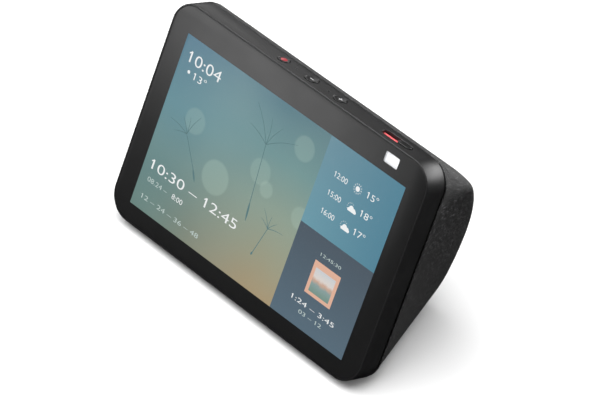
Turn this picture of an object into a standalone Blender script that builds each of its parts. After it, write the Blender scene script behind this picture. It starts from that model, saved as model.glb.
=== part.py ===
"""Smart display: a leaning touch screen slab on a wedge-shaped, fabric-covered loudspeaker body.

Metres, +Z up. The screen faces -Y, +X is to the right of a person who faces it, and the origin is on the
table under the middle of the object. Pieces of the slab are placed in the slab's own leaning frame, where
X runs to the right, Y runs from the front glass into the object, and Z runs up the face from its bottom edge.
"""

import math

import bmesh
import bpy
from mathutils import Matrix, Vector

# Driving dimensions
GAP = 0.0003  # clearance where two pieces touch
TILT = math.radians(16)  # how far the screen leans back
FACE_WIDTH = 0.2004
FACE_HEIGHT = 0.1361
FACE_RADIUS = 0.015
SLAB_DEPTH = 0.0145
BODY_DEPTH = 0.0991  # front to back on the table
FOOT_HEIGHT = 0.001
FACE_BOTTOM = FOOT_HEIGHT + SLAB_DEPTH * math.sin(TILT)  # height of the glass's bottom edge
SCREEN_CENTRE = 0.0653  # height of the screen's centre up the face
SCREEN_WIDTH = 0.1723
SCREEN_HEIGHT = 0.1077

# The back body's outer surface
HEEL_RADIUS = 0.030  # lower back edge, seen from the side
BACK_RADIUS = 0.1145  # the back's long arc, seen from the side
BACK_CENTRE_HEIGHT = 0.040
CREST_DEPTH = 0.0025  # flat strip at the top, behind the slab
REAR_HALF_WIDTH = 0.067  # at the table; it flares out with height
REAR_FLARE = 0.18
REAR_FLARE_GROWTH = 1.07
SIDE_CORNER_SETBACK = 0.0068  # where the ends turn into the back
SIDE_FOOT_RADIUS = 0.005
SKIN_THICKNESS = 0.001
HOUSING_THICKNESS = 0.0025

# Pieces on the top edge
WALL = 0.0022  # the slab surround's wall
CONTROL_DEPTH = 0.0073  # how far behind the glass the top edge's controls lie
BUTTONS = {"mic_camera": (-0.0235, 0.0035), "volume_down": (-0.0013, 0.004), "volume_up": (0.0210, 0.004)}
BUTTON_PROUD = 0.0004
MICROPHONES = {"left": -0.0135, "right": 0.0120}
WINDOW_CENTRE = (0.07145, 0.1277)  # the camera window, along the face and up it
WINDOW_SIZE = (0.0101, 0.0062)
SLOT_ENDS = (0.0548, 0.0762)
SLOT_WIDTH = 0.0062
SHUTTER_TRAVEL = 0.0108
KNOB_HALF_LENGTH = 0.0048
STRIP_DEPTH = 0.0017  # how far below the top edge the red strip's upper face lies

# Loudspeakers
SPEAKER_RADIUS = 0.023
SPEAKER_FACE = 0.0745  # distance of each speaker's flange from the middle plane
SPEAKER_PLACE = (0.053, 0.046)  # distance behind the front edge, and height
RADIATOR_RADIUS = 0.028
RADIATOR_PLACE = (0.0855, 0.050)

# The inlet for the power plug
INLET_PLACE = (0.050, 0.0340)  # to the right of the middle, and height
INLET_FACE = 0.0987  # distance of its flat face behind the front edge
INLET_BORE = 0.0034

BOARD_DEPTH = 0.0215  # the main board lies this far behind the glass


def clear_scene():
    """Remove every object that the startup scene holds."""
    for thing in list(bpy.data.objects):
        bpy.data.objects.remove(thing)


def make_collection(name):
    """Add a collection to the scene."""
    collection = bpy.data.collections.new(name)
    bpy.context.scene.collection.children.link(collection)
    return collection


clear_scene()
PARTS = make_collection("smart_display")
CUTTERS = make_collection("cutters")
CUTTERS.hide_render = True


def make_empty(name, location, rotation=(0, 0, 0)):
    """A frame that other pieces are placed in."""
    frame = bpy.data.objects.new(name, None)
    frame.location = location
    frame.rotation_euler = rotation
    PARTS.objects.link(frame)
    return frame


SLAB = make_empty(
    "slab_frame",
    (0, -BODY_DEPTH / 2, FACE_BOTTOM),
    (-TILT, 0, 0),
)


def finish(name, color, roughness, metallic=0.0):
    """A plain surface."""
    material = bpy.data.materials.new(name)
    material.use_nodes = True
    shader = material.node_tree.nodes["Principled BSDF"]
    shader.inputs["Base Color"].default_value = (*color, 1)
    shader.inputs["Roughness"].default_value = roughness
    shader.inputs["Metallic"].default_value = metallic
    return material


CHARCOAL = (0.030, 0.031, 0.033)
BLACK = (0.012, 0.012, 0.013)
BOARD_GREEN = (0.02, 0.10, 0.06)
STEEL = (0.55, 0.55, 0.56)


def add_piece(name, mesh, look, parent=None, location=(0, 0, 0)):
    """Put a mesh in the scene as a named piece with its own material."""
    piece = bpy.data.objects.new(name, mesh)
    piece.location = location
    piece.parent = parent
    PARTS.objects.link(piece)
    mesh.materials.append(finish(name, *look))
    return piece


def as_cutter(piece):
    """Turn a piece into a hidden cutter."""
    PARTS.objects.unlink(piece)
    CUTTERS.objects.link(piece)
    piece.hide_render = True
    piece.display_type = "WIRE"
    return piece


def cut(piece, *cutters):
    """Take the cutters' shapes out of a piece."""
    for cutter in cutters:
        boolean = piece.modifiers.new("cut", "BOOLEAN")
        boolean.operation = "DIFFERENCE"
        boolean.object = as_cutter(cutter)
    return piece


def mesh_from(shape, name):
    """Hand over a bmesh as a mesh."""
    mesh = bpy.data.meshes.new(name)
    shape.to_mesh(mesh)
    shape.free()
    return mesh


def block(name, low, high, look=(BLACK, 0.6), parent=SLAB, radius=0.0, axis=1, segments=4):
    """A box between two corners, with the edges along one axis rounded."""
    low, high = Vector(low), Vector(high)
    shape = bmesh.new()
    bmesh.ops.create_cube(shape, size=1)
    bmesh.ops.scale(shape, vec=high - low, verts=shape.verts)
    if radius:
        along = [
            edge
            for edge in shape.edges
            if abs((edge.verts[1].co - edge.verts[0].co).normalized()[axis]) > 0.9
        ]
        bmesh.ops.bevel(
            shape,
            geom=along,
            offset=radius,
            segments=segments,
            profile=0.5,
            affect="EDGES",
            clamp_overlap=True,
        )
    return add_piece(name, mesh_from(shape, name), look, parent, (low + high) / 2)


def rod(name, radius, low, high, look=(BLACK, 0.6), parent=SLAB, location=(0, 0, 0), axis="Z", sides=24):
    """A cylinder from one distance to another along an axis."""
    turn = {
        "X": Matrix.Rotation(math.pi / 2, 4, "Y"),
        "Y": Matrix.Rotation(-math.pi / 2, 4, "X"),
        "Z": Matrix(),
    }
    shape = bmesh.new()
    bmesh.ops.create_cone(
        shape,
        cap_ends=True,
        segments=sides,
        radius1=radius,
        radius2=radius,
        depth=high - low,
        matrix=turn[axis] @ Matrix.Translation((0, 0, (low + high) / 2)),
    )
    piece = add_piece(name, mesh_from(shape, name), look, parent, location)
    piece.data.shade_smooth()
    piece.data.set_sharp_from_angle(angle=math.radians(40))
    return piece


def turned(name, profile, look, parent, location=(0, 0, 0), steps=24):
    """A piece turned about its own Z axis; its profile runs down the outer side and back up the inner one."""
    closed = profile[0][0] > 0
    mesh = bpy.data.meshes.new(name)
    edges = [(i, i + 1) for i in range(len(profile) - 1)]
    if closed:
        edges.append((len(profile) - 1, 0))
    mesh.from_pydata([(radius, 0, height) for radius, height in profile], edges, [])
    piece = add_piece(name, mesh, look, parent, location)
    screw = piece.modifiers.new("turn", "SCREW")
    screw.axis = "Z"
    screw.steps = steps
    screw.render_steps = steps
    screw.use_merge_vertices = True
    screw.merge_threshold = 0.00001
    screw.use_smooth_shade = True
    return piece


def outline_plate(name, outline, thickness, look, parent=None, location=(0, 0, 0), rotation=(0, 0, 0)):
    """A flat plate with this outline, centred on its own XY plane."""
    curve = bpy.data.curves.new(name, "CURVE")
    curve.dimensions = "2D"
    curve.fill_mode = "BOTH"
    curve.extrude = thickness / 2
    spline = curve.splines.new("POLY")
    spline.points.add(len(outline) - 1)
    for point, (x, y) in zip(spline.points, outline):
        point.co = (x, y, 0, 1)
    spline.use_cyclic_u = True
    source = bpy.data.objects.new(name + "_curve", curve)
    PARTS.objects.link(source)
    mesh = bpy.data.meshes.new_from_object(source.evaluated_get(bpy.context.evaluated_depsgraph_get()))
    bpy.data.objects.remove(source)
    shape = bmesh.new()
    shape.from_mesh(mesh)
    bmesh.ops.remove_doubles(shape, verts=shape.verts, dist=0.000001)
    bmesh.ops.recalc_face_normals(shape, faces=shape.faces)
    shape.to_mesh(mesh)
    shape.free()
    mesh.materials.clear()
    piece = add_piece(name, mesh, look, parent, location)
    piece.rotation_euler = rotation
    return piece


def tube(name, points, radius, look, parent=None):
    """A wire through these points."""
    curve = bpy.data.curves.new(name, "CURVE")
    curve.dimensions = "3D"
    curve.bevel_depth = radius
    curve.bevel_resolution = 2
    curve.use_fill_caps = True
    spline = curve.splines.new("POLY")
    spline.points.add(len(points) - 1)
    for point, place in zip(spline.points, points):
        point.co = (*place, 1)
    piece = bpy.data.objects.new(name, curve)
    piece.parent = parent
    PARTS.objects.link(piece)
    curve.materials.append(finish(name, *look))
    return piece


def smooth_route(start, end, lift, count=9):
    """Points from start to end on a smooth hump; lift is the offset of its middle."""
    start, end, lift = Vector(start), Vector(end), Vector(lift)
    steps = [i / (count - 1) for i in range(count)]
    return [start.lerp(end, t) + lift * math.sin(math.pi * t) ** 2 for t in steps]


# Front slab


def make_front():
    """The slab's surround, glass, screen and back cover."""
    half, top = FACE_WIDTH / 2, FACE_HEIGHT
    black_plastic = (CHARCOAL, 0.42)
    frame = block(
        "front_frame", (-half, 0, 0), (half, SLAB_DEPTH, top), black_plastic, radius=FACE_RADIUS, segments=8
    )
    rim, glass_depth, ledge_depth = 0.0009, 0.0015, 0.0024
    side, bottom, over = 0.0085, 0.0075, 0.0075
    recess = block(
        "glass_recess",
        (rim - half, -0.002, rim),
        (half - rim, glass_depth, top - rim),
        radius=FACE_RADIUS - rim,
        segments=8,
    )
    window = block("ledge_window", (side - half, 0.0005, bottom), (half - side, 0.0040, top - over))
    camera_notch = block("camera_notch", (0.0425, 0.0005, top - 0.020), (0.0895, 0.0040, top - WALL - 0.0005))
    hollow = block(
        "frame_hollow",
        (WALL - half, ledge_depth, WALL),
        (half - WALL, SLAB_DEPTH + 0.002, top - WALL),
        radius=FACE_RADIUS - WALL,
        segments=8,
    )
    cut(frame, recess, window, camera_notch, hollow)
    for name, (across, radius) in BUTTONS.items():
        place = (across, CONTROL_DEPTH, 0)
        cut(frame, rod(name + "_hole", radius + GAP, top - 0.006, top + 0.002, location=place))
    for side_name, across in MICROPHONES.items():
        place = (across, CONTROL_DEPTH, 0)
        cut(frame, rod(side_name + "_sound_hole", 0.0006, top - 0.006, top + 0.002, location=place, sides=10))
    slot = block(
        "slider_slot",
        (SLOT_ENDS[0], CONTROL_DEPTH - SLOT_WIDTH / 2, top - 0.006),
        (SLOT_ENDS[1], CONTROL_DEPTH + SLOT_WIDTH / 2, top + 0.002),
        radius=SLOT_WIDTH * 0.499,
        axis=2,
        segments=8,
    )
    strip_pocket = block(
        "strip_pocket",
        (SLOT_ENDS[0] - SHUTTER_TRAVEL - 0.0008, CONTROL_DEPTH - 0.0032, top - 0.004),
        (SLOT_ENDS[0] + 0.0050, CONTROL_DEPTH + 0.0032, top - STRIP_DEPTH + GAP),
    )
    cut(frame, slot, strip_pocket)

    edge = rim + GAP
    block(
        "cover_glass",
        (edge - half, 0.0001, edge),
        (half - edge, 0.0011, top - edge),
        (BLACK, 0.08),
        radius=FACE_RADIUS - edge,
        segments=8,
    )
    make_screen()
    cover_edge = WALL + GAP
    cover = block(
        "slab_back_cover",
        (cover_edge - half, SLAB_DEPTH - 0.0021, cover_edge),
        (half - cover_edge, SLAB_DEPTH - GAP, top - cover_edge),
        (BLACK, 0.5),
        radius=FACE_RADIUS - cover_edge,
        segments=6,
    )
    cut(cover, block("cable_opening", (-0.030, 0.010, 0.030), (0.030, 0.020, 0.060), radius=0.004))


def make_screen():
    """The screen's layers, from the gasket back to the steel tray."""
    centre = SCREEN_CENTRE

    def layer(name, width, height, front, back, look, radius=0.001):
        """A flat layer centred on the screen."""
        low = (-width / 2, front, centre - height / 2)
        high = (width / 2, back, centre + height / 2)
        return block(name, low, high, look, radius=radius)

    pale = (0.8, 0.8, 0.8)
    layer("lcd_panel", SCREEN_WIDTH + 0.0040, SCREEN_HEIGHT + 0.0036, 0.0019, 0.0034, (BLACK, 0.2))
    layer("backlight_unit", SCREEN_WIDTH + 0.0060, SCREEN_HEIGHT + 0.0056, 0.0037, 0.0061, (pale, 0.4))
    tray = layer("display_tray", 0.186, 0.1140, 0.0065, 0.0073, (STEEL, 0.35, 1.0), radius=0.003)
    cut(tray, block("tray_opening", (-0.026, 0.005, 0.012), (0.026, 0.009, 0.024), radius=0.002))
    gasket = layer("display_gasket", 0.1812, 0.1140, 0.0014, 0.0018, (BLACK, 0.9))
    window_width, window_height = SCREEN_WIDTH + 0.0020, SCREEN_HEIGHT + 0.0020
    cut(gasket, layer("gasket_window", window_width, window_height, 0.0005, 0.0030, (BLACK, 0.9)))


# Controls on the top edge


def make_buttons():
    """Three round push buttons with their switches, the board under them and two microphones."""
    top = FACE_HEIGHT
    board_top = top - 0.0061
    block(
        "button_board",
        (-0.031, 0.0080 - 0.0042, board_top - 0.0010),
        (0.029, 0.0080 + 0.0036, board_top),
        (BOARD_GREEN, 0.5),
        radius=0.001,
        axis=2,
    )
    for name, (across, radius) in BUTTONS.items():
        hub = make_empty(name + "_axis", (across, CONTROL_DEPTH, top))
        hub.parent = SLAB
        look = ((0.55, 0.05, 0.06), 0.35) if name == "mic_camera" else (CHARCOAL, 0.45)
        dish = 0.00025
        flange = radius + 0.0007
        profile = [
            (0, BUTTON_PROUD - dish),
            (radius * 0.55, BUTTON_PROUD - dish * 0.7),
            (radius - 0.0004, BUTTON_PROUD),
            (radius, BUTTON_PROUD - 0.0004),
            (radius, -WALL - GAP),
            (flange, -WALL - GAP),
            (flange, -WALL - GAP - 0.0008),
            (0, -WALL - GAP - 0.0008),
        ]
        turned(name + "_button", profile, look, hub)
        block(
            name + "_switch",
            (across - 0.002, CONTROL_DEPTH - 0.002, board_top + GAP / 2),
            (across + 0.002, CONTROL_DEPTH + 0.002, board_top + 0.0017),
            (STEEL, 0.4, 0.8),
            radius=0.0005,
            axis=2,
            segments=2,
        )
    for side, across in MICROPHONES.items():
        block(
            "microphone_" + side,
            (across - 0.00175, CONTROL_DEPTH - 0.00135, board_top + GAP / 2),
            (across + 0.00175, CONTROL_DEPTH + 0.00135, board_top + 0.0012),
            (STEEL, 0.3, 0.9),
            radius=0.0003,
            axis=2,
            segments=2,
        )


def make_shutter():
    """The camera, and the shutter that its slider moves across it, shown closed."""
    top = FACE_HEIGHT
    across, up = WINDOW_CENTRE
    wide, tall = WINDOW_SIZE
    under_wall = top - WALL - GAP
    carrier_low, carrier_high = under_wall - 0.0013, under_wall - 0.0006
    knob_centre = SLOT_ENDS[1] - 0.0004 - KNOB_HALF_LENGTH
    slider_hub = make_empty("shutter_axis", (knob_centre, CONTROL_DEPTH, top))
    slider_hub.parent = SLAB
    block(
        "shutter_slider",
        (-KNOB_HALF_LENGTH, -SLOT_WIDTH / 2 + GAP, carrier_high + 0.00015 - top),
        (KNOB_HALF_LENGTH, SLOT_WIDTH / 2 - GAP, 0.0003),
        (CHARCOAL, 0.45),
        parent=slider_hub,
        radius=0.0026,
        axis=2,
        segments=6,
    )
    block(
        "shutter_carrier",
        (SLOT_ENDS[0] - 0.0004, CONTROL_DEPTH - 0.0051, carrier_low),
        (SLOT_ENDS[1] + SHUTTER_TRAVEL, CONTROL_DEPTH + 0.0032, carrier_high),
        (BLACK, 0.6),
        radius=0.0005,
        axis=2,
        segments=2,
    )
    block(
        "shutter_red_strip",
        (SLOT_ENDS[0] - 0.0002, CONTROL_DEPTH - 0.0028, carrier_high + 0.0001),
        (knob_centre - KNOB_HALF_LENGTH - 0.0002, CONTROL_DEPTH + 0.0028, top - STRIP_DEPTH),
        ((0.75, 0.06, 0.06), 0.5),
    )
    block(
        "shutter_blade",
        (across - wide / 2 - 0.0022, 0.0014, up - tall / 2 - 0.0016),
        (across + wide / 2 + 0.0005, 0.0019, under_wall - 0.0005),
        ((0.86, 0.86, 0.86), 0.4),
        radius=0.0003,
        segments=2,
    )
    guide = block(
        "shutter_guide",
        (0.0535, 0.0027, up - tall / 2 - 0.0014),
        (0.0880, 0.0032, carrier_low - GAP),
        (BLACK, 0.6),
        radius=0.0005,
        segments=2,
    )
    cut(guide, rod("lens_hole", 0.0030, 0.001, 0.005, axis="Y", location=(across, 0, up), sides=20))
    camera = block(
        "camera_module",
        (across - 0.0045, 0.0035, up - 0.0045),
        (across + 0.0045, 0.0085, up + 0.0035),
        (BLACK, 0.4),
        radius=0.0006,
        segments=2,
    )
    cut(camera, rod("lens_seat", 0.0024, 0.001, 0.0051, axis="Y", location=(across, 0, up), sides=20))
    lens_look = ((0.03, 0.03, 0.06), 0.05)
    rod("camera_lens", 0.0021, 0.0037, 0.0048, lens_look, location=(across, 0, up), axis="Y", sides=20)


# Back body

RIB_SIDE, RIB_BEND, RIB_BACK = 6, 5, 4  # steps along a rib: its end face, its corner, its back


def slab_half_width(up_face):
    """Half the slab's width at this distance up its face, rounded corners included."""
    from_corner = min(up_face, FACE_HEIGHT - up_face)
    if from_corner >= FACE_RADIUS:
        return FACE_WIDTH / 2
    reach = math.sqrt(FACE_RADIUS**2 - (FACE_RADIUS - max(from_corner, 0)) ** 2)
    return FACE_WIDTH / 2 - FACE_RADIUS + reach


def slab_back(height):
    """How far behind the front edge the slab's back plane lies at this height."""
    return (height - FOOT_HEIGHT) * math.tan(TILT) + (SLAB_DEPTH + GAP) / math.cos(TILT)


def arc(centre, radius, start, end, count):
    """Points on an arc; angles in radians."""
    turns = [start + (end - start) * i / (count - 1) for i in range(count)]
    return [(centre[0] + radius * math.cos(a), centre[1] + radius * math.sin(a)) for a in turns]


def side_profile():
    """The outline in the middle plane, from the table round the back to the top, as (behind, height)."""
    depth = SLAB_DEPTH + GAP
    top = (
        FACE_HEIGHT * math.sin(TILT) + depth * math.cos(TILT),
        FACE_BOTTOM + FACE_HEIGHT * math.cos(TILT) - depth * math.sin(TILT),
    )
    crest = (top[0] + CREST_DEPTH * math.cos(TILT), top[1] - CREST_DEPTH * math.sin(TILT))
    back_centre = (BODY_DEPTH - BACK_RADIUS, BACK_CENTRE_HEIGHT)
    heel_height = FOOT_HEIGHT + HEEL_RADIUS
    rise = heel_height - BACK_CENTRE_HEIGHT
    heel_centre = (back_centre[0] + math.sqrt((BACK_RADIUS - HEEL_RADIUS) ** 2 - rise**2), heel_height)
    meeting = math.atan2(rise, heel_centre[0] - back_centre[0])
    away = (crest[0] - back_centre[0], crest[1] - back_centre[1])
    leave = math.atan2(away[1], away[0]) - math.acos(BACK_RADIUS / math.hypot(*away))
    heel = arc(heel_centre, HEEL_RADIUS, -math.pi / 2, meeting, 7)
    back = arc(back_centre, BACK_RADIUS, meeting, leave, 12)
    return heel + back[1:] + [crest, top]


BODY_PROFILE = side_profile()


def back_at(height):
    """How far behind the front edge the body reaches at this height, in the middle plane."""
    for low, high in zip(BODY_PROFILE, BODY_PROFILE[1:]):
        if height <= high[1]:
            share = max(height - low[1], 0) / (high[1] - low[1])
            return low[0] + (high[0] - low[0]) * share
    return BODY_PROFILE[-1][0]


def body_half_width(behind, height):
    """Half the body's width at a place seen from the side; its ends run straight to the narrower back."""
    start = slab_back(height)
    above_foot = height - FOOT_HEIGHT
    slab_edge = FACE_WIDTH / 2
    if above_foot < FACE_HEIGHT / 2:
        slab_edge = slab_half_width(above_foot / math.cos(TILT))
    rear_edge = min(slab_edge, REAR_HALF_WIDTH + REAR_FLARE * height + REAR_FLARE_GROWTH * height**2)
    reach = back_at(height) - start
    share = min(max((behind - start) / reach, 0), 1) if reach > 0 else 0
    width = slab_edge + (rear_edge - slab_edge) * share
    up_face = behind * math.sin(TILT) + (height - FACE_BOTTOM) * math.cos(TILT)
    foot = min(max(SIDE_FOOT_RADIUS - above_foot, 0), SIDE_FOOT_RADIUS)
    tuck = SIDE_FOOT_RADIUS - math.sqrt(SIDE_FOOT_RADIUS**2 - foot**2)
    return min(width, slab_half_width(up_face)) - tuck


def along(points, start, end, count):
    """Evenly spaced points on a run of straight pieces, between two distances along it."""
    lengths = [0.0]
    for a, b in zip(points, points[1:]):
        lengths.append(lengths[-1] + (b - a).length)
    result = []
    for i in range(count):
        place = start + (end - start) * i / (count - 1)
        k = max(j for j in range(len(points) - 1) if j == 0 or lengths[j] <= place)
        share = (place - lengths[k]) / (lengths[k + 1] - lengths[k])
        result.append(points[k].lerp(points[k + 1], min(share, 1)))
    return result


def rib(place):
    """The body's right half from the slab's edge to a point of the middle profile, as (x, behind, height).

    Low ribs lie level. Towards the top they lean over, until the last one follows the slab's rounded corner.
    """
    behind, height = place
    top = BODY_PROFILE[-1][1]
    corner_drop = FACE_RADIUS * math.cos(TILT)
    low = height - corner_drop * (height / top) ** 3
    fine = 24
    side = []
    for i in range(fine + 1):
        share = i / fine
        back, up = slab_back(low) * (1 - share) + behind * share, low * (1 - share) + height * share
        side.append(Vector((body_half_width(back, up), back, up)))
    middle = Vector((0, behind, height))
    corner = side[-1]
    length = sum((b - a).length for a, b in zip(side, side[1:]))
    setback = SIDE_CORNER_SETBACK * (1 - 0.25 * (height / top) ** 3)
    side_run = along(side, 0, length - setback, RIB_SIDE + 1)
    bend_end = corner + (middle - corner).normalized() * setback
    bend = []
    for i in range(1, RIB_BEND):
        t = i / RIB_BEND
        bend.append(side_run[-1] * (1 - t) ** 2 + corner * 2 * t * (1 - t) + bend_end * t**2)
    back_run = [bend_end.lerp(middle, i / RIB_BACK) for i in range(RIB_BACK + 1)]
    return side_run + bend + back_run


def body_shell(name, depth_in, thickness, look):
    """A shell that follows the back body's outer surface at a depth, open at the slab and at the foot."""
    ribs = [rib(place) for place in BODY_PROFILE]
    rows, columns = len(ribs), len(ribs[0])
    bpy.ops.mesh.primitive_grid_add(x_subdivisions=columns - 1, y_subdivisions=rows - 1, size=2)
    piece = bpy.context.object
    piece.name = name
    for collection in list(piece.users_collection):
        collection.objects.unlink(piece)
    PARTS.objects.link(piece)
    for vertex in piece.data.vertices:
        column = round((vertex.co.x + 1) / 2 * (columns - 1))
        row = round((vertex.co.y + 1) / 2 * (rows - 1))
        x, behind, height = ribs[row][column]
        vertex.co = (x, behind - BODY_DEPTH / 2, height)
    piece.data.materials.append(finish(name, *look))
    piece.data.shade_smooth()
    mirror = piece.modifiers.new("other half", "MIRROR")
    mirror.merge_threshold = 0.00001
    if depth_in:
        inset = piece.modifiers.new("inset", "DISPLACE")
        inset.direction = "NORMAL"
        inset.mid_level = 0
        inset.strength = -depth_in
    wall = piece.modifiers.new("wall", "SOLIDIFY")
    wall.thickness = thickness
    wall.offset = -1
    return piece


def foot_outline(inset):
    """The body's outline where it meets the table, drawn in by a distance, as (x, y)."""
    half = rib(BODY_PROFILE[0])
    front, back = half[0].y, half[-1].y
    middle = (front + back) / 2
    shrink_x = 1 - inset / half[-RIB_BACK - 2].x
    shrink_y = 1 - inset / (back - middle)
    drawn = [(p.x * shrink_x, middle + (p.y - middle) * shrink_y - BODY_DEPTH / 2) for p in half]
    return drawn + [(-x, y) for x, y in reversed(drawn[:-1])]


def make_body():
    """The fabric cover, the housing under it, the base plate and the foot."""
    body_shell("fabric_cover", 0, SKIN_THICKNESS, ((0.035, 0.036, 0.038), 0.95))
    housing = body_shell("rear_housing", SKIN_THICKNESS + GAP, HOUSING_THICKNESS, (BLACK, 0.6))
    behind, height = SPEAKER_PLACE
    for name, side in (("left", -1), ("right", 1)):
        opening = rod(
            name + "_speaker_opening", 0.018, 0.060, 0.110, parent=None, axis="X",
            location=(0, behind - BODY_DEPTH / 2, height), sides=20,
        )
        if side < 0:
            opening.rotation_euler.z = math.pi
        cut(housing, opening)
    place = (0, 0, RADIATOR_PLACE[1])
    opening = rod("radiator_opening", 0.022, 0.030, 0.070, parent=None, axis="Y", location=place, sides=24)
    cut(housing, opening)
    underside = 0.0014
    thickness = 0.004
    place = (0, 0, underside + thickness / 2)
    plate = outline_plate("base_plate", foot_outline(0.0012), thickness, (BLACK, 0.55), location=place)
    foot_thickness = 0.0011
    place = (0, 0, foot_thickness / 2)
    foot_look = ((0.02, 0.02, 0.02), 0.9)
    outline_plate("rubber_foot", foot_outline(0.006), foot_thickness, foot_look, location=place)
    screw_places = ((-0.056, 0.023), (0.056, 0.023), (-0.044, 0.058), (0.044, 0.058))
    for index, (across, back) in enumerate(screw_places, 1):
        place = (across, back - BODY_DEPTH / 2, 0)
        clearance = rod(f"screw_clearance_{index}", 0.0018, 0, 0.010, parent=None, location=place, sides=16)
        counterbore = rod(
            f"screw_counterbore_{index}", 0.0036, 0, underside + 0.0018, parent=None, location=place
        )
        cut(plate, clearance, counterbore)
        make_screw(f"base_screw_{index}", place, underside + GAP, 0.0012, 0.009)


def make_screw(name, place, start, head, length, parent=None, rotation=(0, 0, 0)):
    """A pan-head screw that points up its own Z axis, with a hexagon socket in its head."""
    head_radius, shank_radius = 0.0030, 0.0014
    profile = [
        (0, start + head + length),
        (shank_radius, start + head + length - 0.0006),
        (shank_radius, start + head),
        (head_radius, start + head),
        (head_radius, start + 0.0003),
        (head_radius - 0.0004, start),
        (0, start),
    ]
    screw = turned(name, profile, (STEEL, 0.3, 1.0), parent, place, steps=12)
    screw.rotation_euler = rotation
    return screw


# Electronics in the body


def make_electronics():
    """The main board with its shield, heat sink and screws, the antennas and the power inlet."""
    front = BOARD_DEPTH
    board_back = front + 0.0012
    block("main_board", (-0.042, front, 0.034), (0.042, board_back, 0.104), (BOARD_GREEN, 0.45), radius=0.002)
    shield_front, shield_back = front + 0.0014, front + 0.0040
    steel = (STEEL, 0.3, 1.0)
    block("shield_can", (-0.018, shield_front, 0.056), (0.018, shield_back, 0.090), steel, radius=0.001)
    pad_front, pad_back = shield_back + 0.0002, shield_back + 0.0010
    block("thermal_pad", (-0.014, pad_front, 0.059), (0.014, pad_back, 0.087), ((0.3, 0.4, 0.6), 0.8))
    make_heat_sink(pad_back + 0.0002)
    for side, across in (("left", -0.037), ("right", 0.037)):
        place = (across, board_back + GAP + 0.0010, 0.098)
        head_turn = (math.pi / 2, 0, 0)
        make_screw("board_screw_" + side, place, -0.0010, 0.0010, 0.0, SLAB, head_turn)
    for side, sign in (("left", -1), ("right", 1)):
        low, high = sorted((sign * 0.0905, sign * 0.0830))
        copper = ((0.45, 0.33, 0.12), 0.4, 0.6)
        block("antenna_" + side, (low, 0.0090, 0.070), (high, 0.0098, 0.105), copper, radius=0.001)
    make_inlet()


def make_heat_sink(front):
    """A comb of fins along the face, on the processor's shield."""
    half_width, base, tip, fins = 0.020, 0.0020, 0.0110, 7
    pitch = 2 * half_width / (fins - 0.45)
    fin = pitch * 0.55
    outline = [(-half_width, 0), (half_width, 0)]
    for index in reversed(range(fins)):
        left = -half_width + index * pitch
        outline += [(left + fin, tip), (left, tip)]
        if index:
            outline += [(left, base), (left - pitch + fin, base)]
    grey = ((0.35, 0.35, 0.36), 0.35, 1.0)
    outline_plate("heat_sink", outline, 0.036, grey, SLAB, location=(0, front, 0.073))


def make_inlet():
    """The power inlet at the lower back: a trim plate, the jack behind it, and the small board under it."""
    across, height = INLET_PLACE
    face = INLET_FACE - BODY_DEPTH / 2
    half_width, half_height, flange, depth = 0.0115, 0.0065, 0.0012, 0.0045
    trim = block(
        "port_trim",
        (across - half_width, face - depth, height - half_height),
        (across + half_width, face, height + half_height),
        (BLACK, 0.45),
        parent=None,
        radius=0.0060,
        segments=5,
    )
    clearance = INLET_BORE + 0.0008
    cut(trim, rod("plug_clearance", clearance, 0, 0.08, parent=None, axis="Y", location=(across, 0, height)))
    for name in ("fabric_cover", "rear_housing"):
        opening = block(
            name + "_inlet_opening",
            (across - half_width - GAP, face - 0.012, height - half_height - GAP),
            (across + half_width + GAP, face + 0.010, height + half_height + GAP),
            parent=None,
            radius=0.0062,
            segments=5,
        )
        cut(PARTS.objects[name], opening)
    jack_face = face - depth - GAP
    jack = block(
        "dc_jack",
        (across - 0.0050, jack_face - 0.0125, height - 0.0055),
        (across + 0.0050, jack_face, height + 0.0055),
        (BLACK, 0.5),
        parent=None,
    )
    cut(jack, make_socket(jack_face, across, height))
    block(
        "power_board",
        (across - 0.0120, jack_face - 0.0170, height - 0.0072),
        (across + 0.0095, jack_face - 0.0010, height - 0.0058),
        (BOARD_GREEN, 0.45),
        parent=None,
        radius=0.001,
        axis=2,
    )


def make_socket(jack_face, across, height):
    """The jack's hollow: a bore that stops 4.5 mm short around the centre pin."""
    pin, bottom, pin_tip = 0.0009, -0.0100, -0.0008
    hub = make_empty("socket_axis", (across, jack_face, height), (-math.pi / 2, 0, 0))
    profile = [
        (0, 0.001),
        (INLET_BORE, 0.001),
        (INLET_BORE, bottom),
        (pin, bottom),
        (pin, pin_tip),
        (0, pin_tip),
    ]
    return turned("socket", profile, (BLACK, 0.5), hub, steps=20)


# Loudspeakers


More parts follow.
